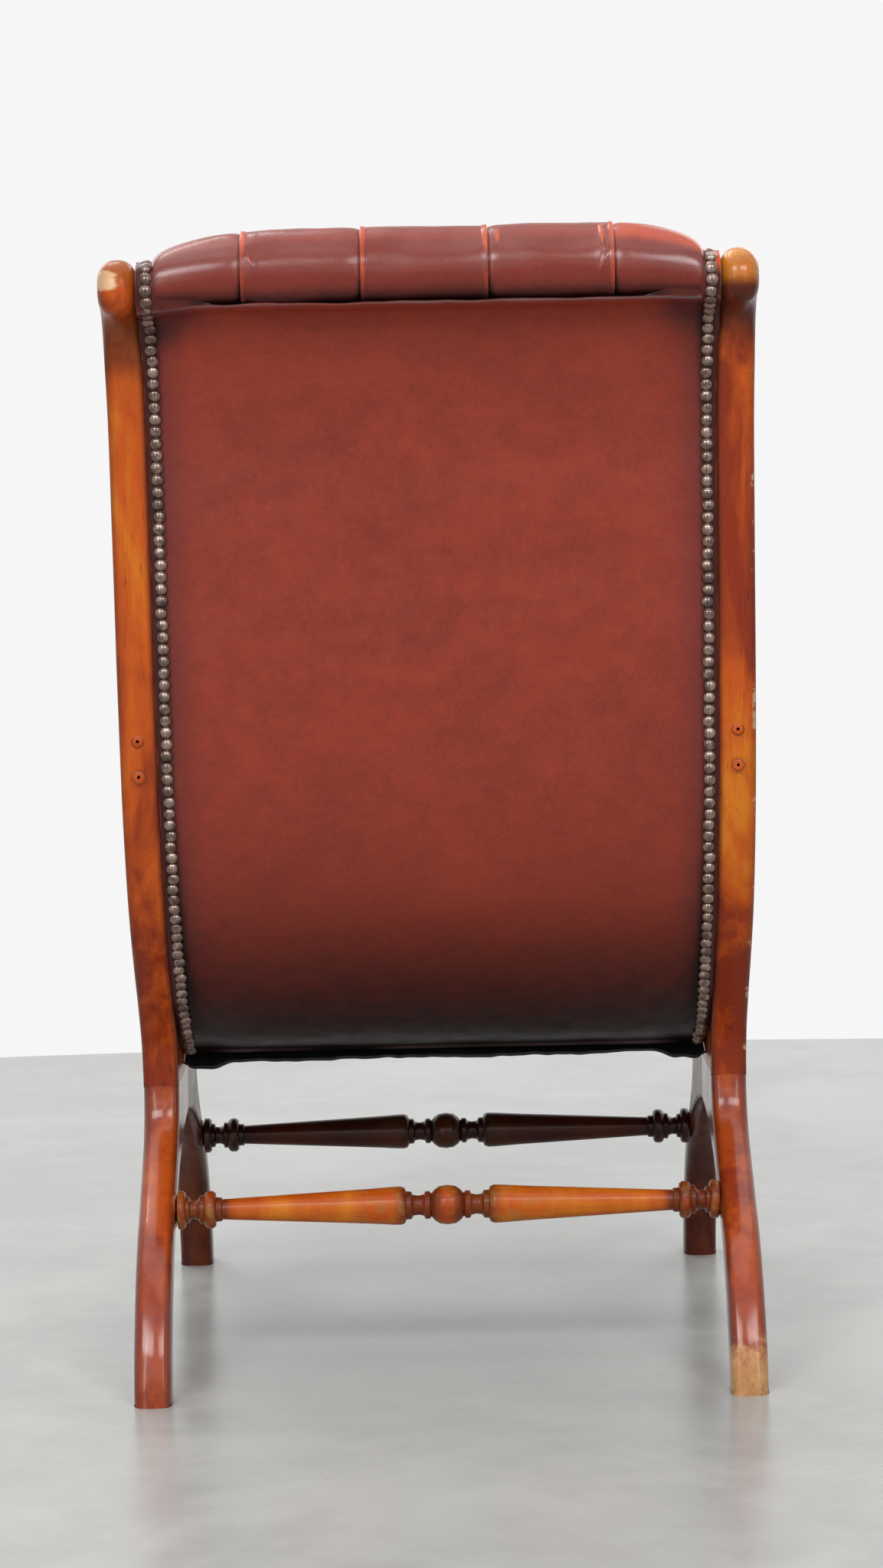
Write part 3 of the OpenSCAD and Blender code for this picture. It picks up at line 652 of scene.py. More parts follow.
def outlineOf(node):
    # the outline of a side frame's piece, in (mm forward of the heel, height), from its outer face
    outer = chair["width"] / 2 * (1 if "left" in node else -1)
    spots = spotsOf(node)
    used = {}
    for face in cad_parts[node].data.polygons:
        corners = spots[list(face.vertices)]
        if np.abs(corners[:, 0] - outer).max() > frameShape["faceWithin"]:
            continue
        keys = [(round(heelY - c[1], 2), round(c[2], 2)) for c in corners]
        for one, two in zip(keys, keys[1:] + keys[:1]):
            if one != two and not used.pop((two, one), False):
                used[one, two] = True
    following = {}
    for one, two in used:
        following.setdefault(one, []).append(two)
    loops = []
    while following:
        loop = [next(iter(following))]
        while loop[-1] in following:
            choices = following[loop[-1]]
            loop.append(choices.pop())
            if not choices:
                del following[loop[-2]]
        loops.append(np.array(loop[:-1], float))
    loop = max(loops, key=lambda q: np.ptp(q, axis=0).sum())
    area = 0.5 * np.sum(loop[:, 0] * np.roll(loop[:, 1], -1) - np.roll(loop[:, 0], -1) * loop[:, 1])
    return loop if area > 0 else loop[::-1]


def evened(loop, step):
    points = []
    for one, two in zip(loop, np.roll(loop, -1, axis=0)):
        count = max(1, int(np.linalg.norm(two - one) / step))
        points += [mix(one, two, k / count) for k in range(count)]
    return np.array(points)


def onOutline(point, loop):
    a, b = loop, np.roll(loop, -1, axis=0)
    t = np.clip(np.sum((point - a) * (b - a), axis=1) / np.maximum(np.sum((b - a) ** 2, axis=1), 1e-9), 0, 1)
    return np.min(np.linalg.norm(a + (b - a) * t[:, None] - point, axis=1)) < 0.5


outlines = {part: outlineOf("left_" + part) for part in ("back_stile", "seat_rail", "rear_leg", "front_leg")}


def framePiece(part, side, finish, ends):
    s = frameShape
    loop = evened(outlines[part], s["step"])
    others = [o for name, o in outlines.items() if name != part]
    ahead = np.roll(loop, -1, axis=0)
    normal = across(unit(ahead - loop))
    middle = (loop + ahead) / 2
    leg = "leg" in part
    radius, crown = [], []
    for m, n in zip(middle, normal):
        joined = any(onOutline(m, o) for o in others)
        if joined or m[1] < s["footHeight"]:
            radius.append(s["jointEdge"] if joined else s["footEdge"])
            crown.append(0)
        else:
            near = min([np.linalg.norm(m - c) for c in ends] or [1e3])
            full = 1 - float(ease((near - scrollRadius) / s["scrollReach"]))
            radius.append(mix(s["legRadius"] if leg else s["edgeRadius"], s["scrollRadius"], full))
            crown.append(s["legCrown"] if leg else s["crown"])
    radius, crown = np.array(radius), np.array(crown)
    half = chair["frameThick"] / 2
    columns = np.array(s["columns"])
    before = np.roll(normal, 1, axis=0)
    cross = before[:, 0] * normal[:, 1] - before[:, 1] * normal[:, 0]
    turn = np.abs(cross) > s["sharpTurn"]

    def offset(c, extra=0.0):
        reach = np.clip((c - (half - radius)) / radius, 0, 1)
        depth = radius * (1 - np.sqrt(np.maximum(0, 1 - reach**2))) + crown * (c / half) ** 2 + extra
        d1, d2 = np.roll(depth, 1), depth
        flat = unit(before + normal) * ((d1 + d2) / 2)[:, None]
        det = np.where(turn, cross, 1)
        corner = np.stack([(d1 * normal[:, 1] - d2 * before[:, 1]) / det,
                           (d2 * before[:, 0] - d1 * normal[:, 0]) / det], -1)
        return loop - np.where(turn[:, None], corner, flat)

    rub = [ramp(c - half, *s["rubbed"]) * (1 - 0.5 * ease(c - half + 1)) for c in columns] + [0]
    places = [*columns, columns[-1]]
    sheets = [offset(c) for c in columns] + [offset(columns[-1], s["capInset"])]
    order = list(range(len(sheets) - 1, 0, -1)) + list(range(len(sheets)))
    signs = [-1] * (len(sheets) - 1) + [1] * len(sheets)
    verts, edge, count = [], [], len(loop)
    for k, sign in zip(order, signs):
        x = side * (frameInner + half + sign * places[k])
        verts.append(toWorld(np.full(count, x), sheets[k]))
        edge.append(np.full(count, rub[k] * (1 if sign > 0 else s["innerRub"])))
    name = ("left_" if side > 0 else "right_") + part
    piece = newPiece(name + ".shaped", np.concatenate(verts), tubeFaces(len(order), count), finish,
                     {"edge": np.concatenate(edge)})
    outward(piece, merged=False)
    piece.data.set_sharp_from_angle(angle=math.radians(s["smoothAngle"]))
    return settle(piece, name)


sides = ((1, "left"), (-1, "right"))
for side, name in sides:
    framePiece("back_stile", side, finishes["stile" + name.title()], [scrollC])
    framePiece("seat_rail", side, finishes["rail"], [frontC])
    framePiece("rear_leg", side, finishes["leg" + name.title()], [])
    framePiece("front_leg", side, finishes["legFront"], [])
print("side frames made")

# Padded leather: rings along the cover and columns across it, as the construction has them,
# then finer, with folds, buttons and pleats drawn in
padding = {
    "foldDepth": 8, "buttonDepth": 17, "buttonReach": 15, "tuckShare": 0.93, "foldSharpness": 0.5,
    "ringStep": 2.6, "columnStep": 3.4, "sideColumns": 20,
    "pleats": [150, 54, -48, -149], "nosePleats": [150, 50, -50, -150],
    "pleatColumns": [-7.5, -6, -5, -4.2, -3.4, -2, -0.9, -0.25, 0.25, 0.9, 2, 3.6, 5.4, 8], "pleatClear": 9,
    "lipWidth": 3.6, "lipRise": 0.9, "lipEdge": 2.4, "lineWidth": 1.6, "creaseDepth": 2.1, "creaseReach": 3.2,
    "valleyDepth": 0.4, "valleyReach": 16,
    "creases": [  # small folds beside the pleats: across and height of each end, width
        (-144.1, 945, -134.5, 925, 1.3), (-138.4, 969, -140.2, 946, 1.5), (144.5, 951, 139.6, 936, 1.4),
        (-57.0, 966, -54.6, 950, 1.2)],
    "creaseColumns": [(-140.9, -131), (137.2, 141)], "creaseStep": 1.3,
    "rollArc": (230, 62, 18), "tuckArc": (214, 14), "tuckIn": 3.4,  # degrees round the roll
    "leftEnd": 102, "rightEnd": 76, "sideReach": 4.2, "sideSpan": 30,
    "snug": (-28, 36), "snugShare": 0.28, "joinReach": 30, "joinDepth": 8,
}
backRow, seatRow = 8, joinI + 4
backRows = (joinI - backRow) // 4
seatRows = (stations - 3 - seatRow) // 4
wallHalf = bodyInner - chair["gap"] * 2
noseX = chair["frontPad"] + scrollRadius - chair["noseWall"]


# Knots along a cover: crown, underside and foot as (forward, height), then the row in the pattern
# of buttons and the share of buttoning
def backKnots():
    knots = []
    for a in np.linspace(*padding["rollArc"]):
        tucked = padding["tuckIn"] * ramp(a, *padding["tuckArc"])
        knots.append([*(rollC + aim(a) * (chair["rollRadius"] - tucked)),
                      *(rollC + aim(a) * (chair["crestRadius"] + 0.6)),
                      *(scrollC + aim(a) * (endRadius + chair["gap"])), -3, 0])
    top = rollC[1] + chair["rollRadius"] - linePoints[0, 1]
    low = rollC[1] + chair["crestRadius"] + 2 * chair["gap"] - linePoints[0, 1]
    for i in range(1, joinI + 1):
        e = float(ease(i / 5))
        at = i - chair["gap"] / lineRun[-1] * stations if i == joinI else i
        knots.append([*off(at, mix(top, backUnder + chair["backPad"], e)), *off(at, mix(low, backUnder, e)),
                      *off(at, wallFoot), (i - backRow) / 4, float(ease((i - 1) / (backRow - 1)))])
    return np.array(knots)


def seatKnots():
    knots = []
    for i in range(joinI, stations + 1):
        at = i + chair["gap"] / lineRun[-1] * stations if i == joinI else i
        knots.append([*off(at, seatUnder + chair["seatPad"]), *off(at, seatUnder), *off(at, wallFoot),
                      (i - seatRow) / 4, float(ease((stations - i) / 3))])
    noseTop = off(stations, seatUnder + chair["seatPad"])[1]
    underTop = off(stations, seatUnder)[1]
    noseC = np.array([frontC[0], mix(frontC[1], underTop, 0.5)])
    reach = endRadius + wallFoot - carcass
    for a in np.arange(75, -1, -15):
        c, s = aim(a)
        knots.append([*(noseC + [(noseX + chair["noseWall"]) * c, (noseTop - noseC[1]) * s]),
                      *(noseC + [noseX * c, (underTop - noseC[1]) * s]),
                      *(frontC + aim(mix(6, 90, a / 90)) * reach), seatRows + 4, 0])
    for a in np.arange(0, -90, -13.5):
        knots.append([*(frontC + aim(a) * (noseX + chair["noseWall"])), *(frontC + aim(a) * noseX),
                      *(frontC + aim(a) * reach), seatRows + 4, 0])
    return np.array(knots)


def refined(knots, step):
    run = runAlong(knots[:, :2])
    slope = np.gradient(knots, run, axis=0)
    s = np.linspace(0, run[-1], int(run[-1] / step) + 1)
    k = np.clip(np.searchsorted(run, s, side="right") - 1, 0, len(run) - 2)
    length = (run[k + 1] - run[k])[:, None]
    t = (s - run[k])[:, None] / length
    rings = hermite(knots[k], knots[k + 1], length * slope[k], length * slope[k + 1], t)
    rings[:, 6] = np.interp(s, run, knots[:, 6])
    rings[:, 7] = np.clip(np.interp(s, run, knots[:, 7]), 0, 1)
    return rings


def coverColumns(pleats):
    flatHalf = padHalf - chair["sideRoll"]
    flat = np.linspace(0, flatHalf, int(flatHalf / padding["columnStep"]) + 1)
    turn = flatHalf + chair["sideRoll"] * np.sin(np.radians(np.linspace(0, 90, padding["sideColumns"])))[1:]
    whole = np.concatenate([flat, turn])
    columns = [*-whole[:0:-1], *whole]
    for place in pleats:
        side = 1 if place > 0 else -1
        near = [place + side * q for q in padding["pleatColumns"]]
        columns = [c for c in columns if abs(c - place) > padding["pleatClear"]] + near
    if pleats is padding["pleats"]:
        for low, high in padding["creaseColumns"]:
            columns += [*np.arange(low, high, padding["creaseStep"])]
    return np.sort(columns)


def tufting(x, v, rows, soft, pleats):
    # how far the leather is drawn in, with the folds between the buttons
    u = x / (chair["buttonPitch"] / 2)
    w = np.clip(v, 0, rows - 1)
    inner, outer = np.minimum(3, abs(u)), np.minimum(4, abs(u))
    quarter = np.pi / 2
    fold = np.abs(np.cos(quarter * (inner + w)) * np.cos(quarter * (inner - w)))
    edge = np.where(abs(u) > 3, ease(abs(u) - 3), 0)
    rib = np.cos(quarter * (outer + w)) ** 2 * mix(1, np.sin(quarter * np.minimum(1, abs(v - w))) ** 2, edge)
    full = np.where((v < 0) | (v > rows - 1), rib, fold) ** padding["foldSharpness"]
    row = np.clip(np.round(v), 0, rows - 1)
    shift = 1 - row % 2
    column = np.clip(2 * np.round((u - shift) / 2) + shift, row % 2 - 3, 3 - row % 2)
    away = np.hypot((u - column) * chair["buttonPitch"] / 2, (v - row) * chair["rowPitch"])
    pit = bell(away, padding["buttonReach"])
    tuft = padding["foldDepth"] * (1 - full) + (padding["buttonDepth"] - padding["foldDepth"]) * pit
    knife, lip, line = np.zeros_like(x), np.zeros_like(x), np.zeros_like(x)
    for place in pleats:
        side = 1 if place > 0 else -1
        q = (x - place) * side
        crease = np.where(q >= 0, np.exp(-np.maximum(q, 0) / padding["creaseReach"]), 0) * padding["creaseDepth"]
        strip = np.where(q < 0, 1 - ramp(-q, padding["lipWidth"] - 1, padding["lipEdge"]), 0)
        valley = bell(q, padding["valleyReach"]) * padding["valleyDepth"]
        knife += crease + valley - strip * padding["lipRise"]
        lip = np.maximum(lip, strip)
        line = np.maximum(line, np.where(q > -0.1, np.exp(-np.maximum(q, 0) / padding["lineWidth"]), 0))
    # lip marks the painted highlight along each pleat's folded edge; pit, line and the folds mark painted shade
    return mix(knife, tuft, soft), lip * (1 - soft), pit * soft, mix(line, 1 - full, soft)


def coverPiece(name, knots, rows, finish, pleats, ends, shaped):
    rings = refined(knots, padding["ringStep"])
    columns = coverColumns(pleats)
    m, n = len(rings), len(columns)
    x = np.broadcast_to(columns, (m, n))
    crown, under, foot = (rings[:, None, k:k + 2] for k in (0, 2, 4))
    soft = rings[:, 7:8]
    drawn, lip, pit, folds = tufting(x, rings[:, 6:7], rows, soft, pleats)
    reach = mix(np.where(x > 0, ends[0], ends[1]), chair["sideRoll"], soft)
    underRoll = (rings[:, 0] < rollC[0]) & (rings[:, 1] > rollC[1] - 1.5 * chair["rollRadius"])
    snug = np.where(underRoll, ramp(rings[:, 1] - rollC[1], *padding["snug"]), 1)[:, None]
    reach = reach * mix(padding["snugShare"], 1, snug)
    t = np.clip((abs(x) - padHalf + reach) / reach, 0, 1)
    side = 1 - np.sqrt(1 - t * t)
    up = unit(crown - under)
    skin = crown + (foot - crown) * (side * padding["tuckShare"])[..., None]
    rise, attributes = shaped(x, rings, side)
    skin = skin - up * ((drawn - rise) * (1 - side))[..., None]
    spread = padding["sideReach"] * ramp(np.abs(x) - padHalf, -padding["sideSpan"], padding["sideSpan"])
    top = toWorld(x + np.sign(x) * spread, skin)
    # the underside, only seen where the cover ends
    back = np.linspace(padHalf, -padHalf, 9)
    lower = np.where((abs(back) < wallHalf)[None, :, None], under, foot)
    lower = toWorld(np.broadcast_to(back, (m, len(back))), lower)
    around = n + len(back)
    faces = gridFaces(m, around, closed=True)
    faces += [range(around - 1, -1, -1), range((m - 1) * around, m * around)]
    pad = np.zeros((m, len(back)))
    # painted shade in the button pits, folds and creases and as the shape gives it; painted highlights along the
    # pleats' edges; plum of painted sheen and shade where the sides roll down
    paintedShade, fade, warmTopAndRidgeHighlight = (attributes.pop(key, value) for key, value in (("grimeAndShade", 0), ("fade", 1), ("warmTopAndRidgeHighlight", 0)))
    grimeAndShade = np.clip(0.75 * pit + (0.3 + 0.5 * (1 - soft)) * folds + paintedShade, 0, 1)
    attributes = {"wearAndHighlight": lip * fade + warmTopAndRidgeHighlight, "grimeAndShade": grimeAndShade, "edge": side * 0.9, **attributes}
    flat = {key: np.concatenate([value, pad], axis=1).ravel() for key, value in attributes.items()}
    piece = newPiece(name, np.concatenate([top, lower], axis=1).reshape(-1, 3), faces, finish, flat)
    return piece, top, rings


def rounded(rings, reach, depth):
    # how far a cover's skin falls away towards the joint of back and seat, its first ring
    t = np.clip(1 - runAlong(rings[:, :2]) / reach, 0, 1)
    return depth * (1 - np.sqrt(1 - t * t))[:, None]


# The roll's marks: the place in mm at which each begins or lies, and its width
roll = {
    "fade": (912, 30), "shadeBelow": (905, 28), "topShade": (950, 18), "fillBelow": (-27, 9), "fillEnds": (176, 24),
    "endFill": 1.0, "wearAndHighlight": (946, 16), "warmerRight": (142, 14), "shine": (949, 13),
    "glint": (196, 38), "glintHeight": (959, 3), "front": (-4, 22), "ridge": 1.2, "joinShare": 0.6,
}


def rollShape(x, rings, side):
    forward, height = rings[:, :1], rings[:, 1:2]
    behind = forward < rollC[0] + 5
    # fade weakens the painted highlights along the pleats' edges low on the roll
    fade = mix(0.45, 0.85, ramp(height, *roll["fade"])) * (0.8 + 0.25 * smoothNoise(x.shape, (40, 9), 8))
    lumps = smoothNoise(x.shape, (26, 12), 3) * 0.5 + smoothNoise(x.shape, (60, 36), 4) * 0.18
    # painted shade on the low back of the roll where it turns under, and a little at its top
    paintedShade = behind * (1 - ramp(height, *roll["shadeBelow"])) * 0.88 + ramp(height, *roll["topShade"]) * 0.1
    ridge = np.zeros(x.shape)
    for x0, z0, x1, z1, wide in padding["creases"]:
        dx, dz = x1 - x0, z1 - z0
        t = np.clip(((x - x0) * dx + (height - z0) * dz) / (dx**2 + dz**2), 0.04, 0.96)
        away = np.hypot(x - mix(x0, x1, t), height - mix(z0, z1, t))
        ridge = np.maximum(ridge, bell(away, wide) * np.sin(np.pi * t) ** 0.6)
    ridge = ridge * behind
    low = behind * (1 - ramp(height - rollC[1], *roll["fillBelow"]))
    rise = lumps + ridge * roll["ridge"] + roll["endFill"] * low * ramp(np.abs(x), *roll["fillEnds"])
    rise = rise - rounded(rings[::-1], padding["joinReach"] * roll["joinShare"], padding["joinDepth"])[::-1]
    # the top drawn warmer, more so on the right, and painted highlights on the crease ridges
    warmTopAndRidgeHighlight = mix(0.4, 0.68, ramp(-x, *roll["warmerRight"])) * ramp(height, *roll["wearAndHighlight"]) + 0.7 * ridge
    shiny = mark(height, *roll["shine"]) * (0.8 + 0.35 * smoothNoise(x.shape, (30, 10), 9))
    shiny = shiny + 0.9 * mark(x, *roll["glint"]) * mark(height, *roll["glintHeight"])
    front = ramp(forward - rollC[0], *roll["front"])
    shiny = mix(np.clip(shiny, 0.04, 1), 0.3, front)
    # plum of painted sheen and shade at the ends and over the back of the roll
    edge = np.maximum(side * 0.9, mix(0.5, 0, front))
    return rise, {
        "grimeAndShade": np.clip(paintedShade, 0, 1), "fade": fade, "warmTopAndRidgeHighlight": warmTopAndRidgeHighlight * (1 - front), "shiny": shiny, "edge": edge}


def seatShape(x, rings, side):
    step = seatUnder + chair["seatPad"] - backUnder - chair["backPad"]
    rise = smoothNoise(x.shape, (26, 14), 5) * 0.7 + smoothNoise(x.shape, (70, 40), 6) * 0.2
    return rise - rounded(rings, padding["joinReach"], padding["joinDepth"] + step), {}


backCover, backSkin, backRings = coverPiece(
    "back_cover.leather", backKnots(), backRows, finishes["roll"], padding["pleats"],
    (padding["leftEnd"], padding["rightEnd"]), rollShape)
seatCover, seatSkin, seatRings = coverPiece(
    "seat_cover.leather", seatKnots(), seatRows, finishes["seat"], padding["nosePleats"],
    (chair["sideRoll"], chair["sideRoll"]), seatShape)
for piece, node in ((backCover, "back_cover"), (seatCover, "seat_cover")):
    settle(outward(piece), node)
print("covers made:", len(backCover.data.polygons), len(seatCover.data.polygons))


# Outside leather of the back, one sheet stretched from the seam under the roll to the hem and
# nailed down its sides. A pair is the place in mm at which a mark begins or lies, and its width.
sheetShape = {
    "seamAngle": 226, "flapTurn": 22, "hemReach": 0.9, "rowStep": 2.2, "fineSides": 20,
    "seamLip": 1.3, "seamWidth": 3.2, "puckerDepth": 0.8, "puckerReach": 7, "hemFold": 2.6, "hemLine": (4, 5),
    "fullness": 2.2, "nailClear": 6, "sideFade": 60, "topFade": 40, "hemFade": 60, "lumps": 0.5, "ripples": 0.12,
    "swell": 1.1, "swellRun": (13, 11), "swellSides": (-16, 12),
    "droop": 4.0, "droopReach": 34, "droopRun": 26, "droopWay": (0.25, -1.0), "sagging": 0.5, "saggingRun": 14,
    "cornerRun": 42, "lowGrimeAndShade": [(380, 0.98), (70, 0.4)], "nailShade": 8, "hemSheen": (7, 3.6),
    "seamHighlight": (2.2, 1.5), "overRail": (-36, 30), "shadedSides": (182, 40), "shadedCorners": (150, 75),
    "corners": [(212, 20), (-212, 32)],
}
sheetHalf = frameInner - chair["gap"]
nailX = frameInner - chair["bandWidth"] / 2 + chair["gap"]


def curved(points, step):
    run = runAlong(points)
    s = np.linspace(0, run[-1], int(run[-1] / step) + 1)
    return pointsAt(s, run, points), s


def sheetNormals(path):
    return across(unit(np.gradient(path, axis=0)))[:, None, :]


def ripple(s):
    # 1 at each nail of a row that starts at 0, and 0 between two
    return 0.5 + 0.5 * np.cos(2 * np.pi * (s - chair["nailPitch"] / 2) / chair["nailPitch"])


def outsideBack():
    s = sheetShape
    start = [scrollC + aim(a) * endRadius for a in np.linspace(s["seamAngle"], 268, 8)]
    wall = [off(i, 0) for i in np.arange(0.15, hemI + s["hemReach"], 0.15)]
    path, run = curved(np.array(start + wall), s["rowStep"])
    out = sheetNormals(path)
    flatHalf = sheetHalf - s["fineSides"]
    whole = np.concatenate([np.linspace(0, flatHalf, 70)[:-1], np.linspace(flatHalf, sheetHalf, 14)])
    columns = np.concatenate([-whole[:0:-1], whole])
    x, along = np.meshgrid(columns, run)
    wide, fromEnd = np.abs(x), run[-1] - along
    toNail = np.abs(wide - nailX)
    inside = (ease((nailX - s["nailClear"] - wide) / s["sideFade"])
              * ease(along / s["topFade"]) * ease(fromEnd / s["hemFade"]))
    height = (
        -s["puckerDepth"] * bell(toNail, s["puckerReach"]) * ripple(fromEnd)
        + s["fullness"] * inside
        + smoothNoise(x.shape, (16, 9), 11) * s["lumps"] * inside
        + smoothNoise(x.shape, (60, 34), 12) * s["ripples"]
        + s["swell"] * mark(along, *s["swellRun"]) * ramp(wide - bodyInner, *s["swellSides"])
        + s["seamLip"] * bell(along, s["seamWidth"]) * (0.8 + 0.4 * smoothNoise(x.shape, (2, 22), 13))
        + s["hemFold"] * mark(fromEnd, *s["hemLine"]))
    thick = chair["leather"]
    droop = (s["droop"] * bell(sheetHalf - x, s["droopReach"]) * bell(along, s["droopRun"])
             + s["sagging"] * np.abs(smoothNoise(x.shape, (1, 14), 15)) * bell(along, s["saggingRun"]))
    place = path[:, None, :] + out * (thick + np.clip(height, -0.1, 6))[..., None]
    place = place + np.array(s["droopWay"]) * droop[..., None]
    outer, inner = toWorld(x, place), toWorld(x, place - out * thick * 0.9)
    overRail = ramp(np.abs(columns) - bodyInner, *s["overRail"])
    tucked = scrollC + aim(s["seamAngle"] - s["flapTurn"]) * (endRadius + 0.5)
    flap = toWorld(columns, np.tile(tucked, (len(columns), 1)))
    first = mix(inner[0], flap, overRail[:, None])
    verts = np.array([first, mix(outer[0], first, 0.08), *outer, inner[-1]])
    # painted shade and sheen along the nailed sides, and painted shade in the corners
    corner = np.minimum(ramp(wide, *s["shadedCorners"]), ease((60 - along) / 60) + ease((130 - fromEnd) / 130))
    edge = np.clip(ramp(wide, *s["shadedSides"]) * 0.62 + corner, 0, 1)
    # darker towards the hem, grime with painted shade; painted shade beside the nails and in spots under the roll's
    # ends
    grimeAndShade = sum((1 - ease(fromEnd / reach)) * share for reach, share in s["lowGrimeAndShade"])
    grimeAndShade = grimeAndShade + 0.6 * bell(toNail, s["nailShade"])
    for spot, size in s["corners"]:
        grimeAndShade = grimeAndShade + 0.45 * mark(x, spot, size) * mark(along, s["cornerRun"], size * 1.3)
    # painted sheen with dust along the hem's fold, and a painted highlight along the seam's lip
    hemSheen = np.clip(0.6 + 0.4 * smoothNoise(x.shape, (1, 9), 14), 0, 1)
    seamHighlight = np.clip(1.6 + 0.7 * smoothNoise(x.shape, (1, 12), 16), 0, 2.2)
    dustAndSheen = (mark(fromEnd, *s["hemSheen"]) * ease((nailX - 14 - wide) / 30) * hemSheen
             + mark(along, *s["seamHighlight"]) * seamHighlight)

    def wrapped(values, start):
        start = values[:1] * 0 + start
        return np.concatenate([start, start, values, values[-1:]]).ravel()

    # the first rows, tucked under the roll and its ends, are drawn dark as painted shade
    piece = newPiece(
        "outside_back.leather", verts.reshape(-1, 3), gridFaces(len(verts), len(columns)), finishes["panel"], {
            "edge": wrapped(edge, 0.3), "dustAndSheen": wrapped(dustAndSheen, 0),
            "grimeAndShade": wrapped(np.clip(grimeAndShade - dustAndSheen * 0.3, 0, 1), mix(1.0, 0.66, overRail))})
    return piece, (2 * sheetHalf * mm, (run[-1] + 2 * thick) * mm)


def facing(piece, direction):
    # turn a sheet's faces so that they look along the direction
    total = Vector((0, 0, 0))
    for face in piece.data.polygons:
        total += face.normal * face.area
    if total.dot(Vector(direction)) < 0:
        piece.data.flip_normals()
    return piece


outside, outsideSize = outsideBack()
facing(outside, (0, 1, 0))
settle(outside, "outside_back")

dust = {
    "sag": 5, "drop": 6.5, "hang": 10.5, "step": 5, "columns": 150, "hemBulge": (8, 22), "lift": 0.4,
    "corners": (186, 26), "tight": 8,
}


def dustCover():
    path, run = curved(np.array([off(i, 0) for i in np.arange(hemI + 0.5, stations + 0.01, 0.25)]), dust["step"])
    out = sheetNormals(path)
    x, along = np.meshgrid(np.linspace(-sheetHalf, sheetHalf, dust["columns"]), run)
    wide = np.abs(x)
    ragged = smoothNoise(x.shape, (1, 46), 21) * 0.5 + smoothNoise(x.shape, (1, 15), 22) * 0.7
    free = 1 - 0.6 * ramp(wide - sheetHalf, -dust["tight"], dust["tight"])
    corners = ramp(wide, *dust["corners"]) * free * dust["drop"]
    middle = np.sin(np.pi * np.clip(along / run[-1], 0, 1)) * np.cos(np.pi / 2 * x / sheetHalf)
    height = mark(along, *dust["hemBulge"]) * (dust["hang"] + ragged + corners)
    height = height + dust["sag"] * middle + dust["lift"]
    verts = toWorld(x, path[:, None, :] + out * height[..., None])
    piece = newPiece("dust_cover.cloth", verts.reshape(-1, 3), gridFaces(*x.shape), finishes["dust"])
    return piece, (2 * sheetHalf * mm, run[-1] * mm)


dustPiece, dustSize = dustCover()
facing(dustPiece, (0, 0, -1))
settle(dustPiece, "dust_cover")
print("sheets made")


# Nails and buttons: one group of Geometry Nodes sets a stud on every point of a line, facing out
def studGroup():
    group = bpy.data.node_groups.new("studs", "GeometryNodeTree")
    socket = group.interface.new_socket
    socket("Geometry", in_out="INPUT", socket_type="NodeSocketGeometry")
    for name, kind, value in (("Width", "NodeSocketFloat", 0.0094), ("Rise", "NodeSocketFloat", 0.003),
                              ("Segments", "NodeSocketInt", 12), ("Rings", "NodeSocketInt", 8),
                              ("Tilt", "NodeSocketFloat", 0.06), ("Seed", "NodeSocketInt", 1)):
        socket(name, in_out="INPUT", socket_type=kind).default_value = value
    socket("Material", in_out="INPUT", socket_type="NodeSocketMaterial")
    socket("Geometry", in_out="OUTPUT", socket_type="NodeSocketGeometry")
    shop = Shop(group)

    def given(name):
        return shop.add("NodeGroupInput", out=name)

    def vector(operation, inputs):
        return shop.add("ShaderNodeVectorMath", {"operation": operation}, inputs)

    ball = shop.add("GeometryNodeMeshUVSphere", {}, {
        "Segments": given("Segments"), "Rings": given("Rings"), "Radius": 1.0}, out="Mesh")
    half = given("Width") * 0.5
    size = shop.add("ShaderNodeCombineXYZ", {}, {0: half, 1: half, 2: given("Rise")})
    stud = shop.add("GeometryNodeTransform", {}, {"Geometry": ball, "Scale": size})
    height = shop.add("ShaderNodeSeparateXYZ", {}, {0: shop.add("GeometryNodeInputPosition")}, out="Z")
    hidden = shop.add("FunctionNodeCompare", {"operation": "LESS_THAN"}, {"A": height, "B": -0.0004})
    stud = shop.add("GeometryNodeDeleteGeometry", {}, {"Geometry": stud, "Selection": hidden})
    stud = shop.add("GeometryNodeSetShadeSmooth", {}, {"Geometry": stud})
    out = shop.add("GeometryNodeInputNamedAttribute", {"data_type": "FLOAT_VECTOR"}, {"Name": "facing"})
    jitter = shop.add("FunctionNodeRandomValue", {"data_type": "FLOAT_VECTOR"}, {"Seed": given("Seed")})
    centred = vector("SUBTRACT", {0: jitter, 1: (0.5, 0.5, 0.5)})
    spread = vector("SCALE", {0: centred, "Scale": given("Tilt")})
    leaning = vector("ADD", {0: out, 1: spread})
    turn = shop.add("FunctionNodeAlignRotationToVector", {"axis": "Z"}, {"Vector": leaning})
    put = shop.add("GeometryNodeInstanceOnPoints", {}, {
        "Points": given("Geometry"), "Instance": stud, "Rotation": turn})
    real = shop.add("GeometryNodeRealizeInstances", {}, {"Geometry": put})
    dressed = shop.add("GeometryNodeSetMaterial", {}, {"Geometry": real, "Material": given("Material")})
    shop.add("NodeGroupOutput", {}, {0: dressed})
    return group


studs = studGroup()


def studded(name, points, normals, values, material):
    mesh = bpy.data.meshes.new(name + "Points")
    mesh.from_pydata([tuple(p) for p in points], [], [])
    way = mesh.attributes.new("facing", "FLOAT_VECTOR", "POINT")
    way.data.foreach_set("vector", np.asarray(normals, np.float32).ravel())
    piece = bpy.data.objects.new(name, mesh)
    bpy.context.scene.collection.objects.link(piece)
    modifier = piece.modifiers.new("studs", "NODES")
    modifier.node_group = studs
    values = {**values, "Material": material}
    for item in studs.interface.items_tree:
        if item.in_out == "INPUT" and item.name in values:
            modifier[item.identifier] = values[item.name]
    return baked(piece)


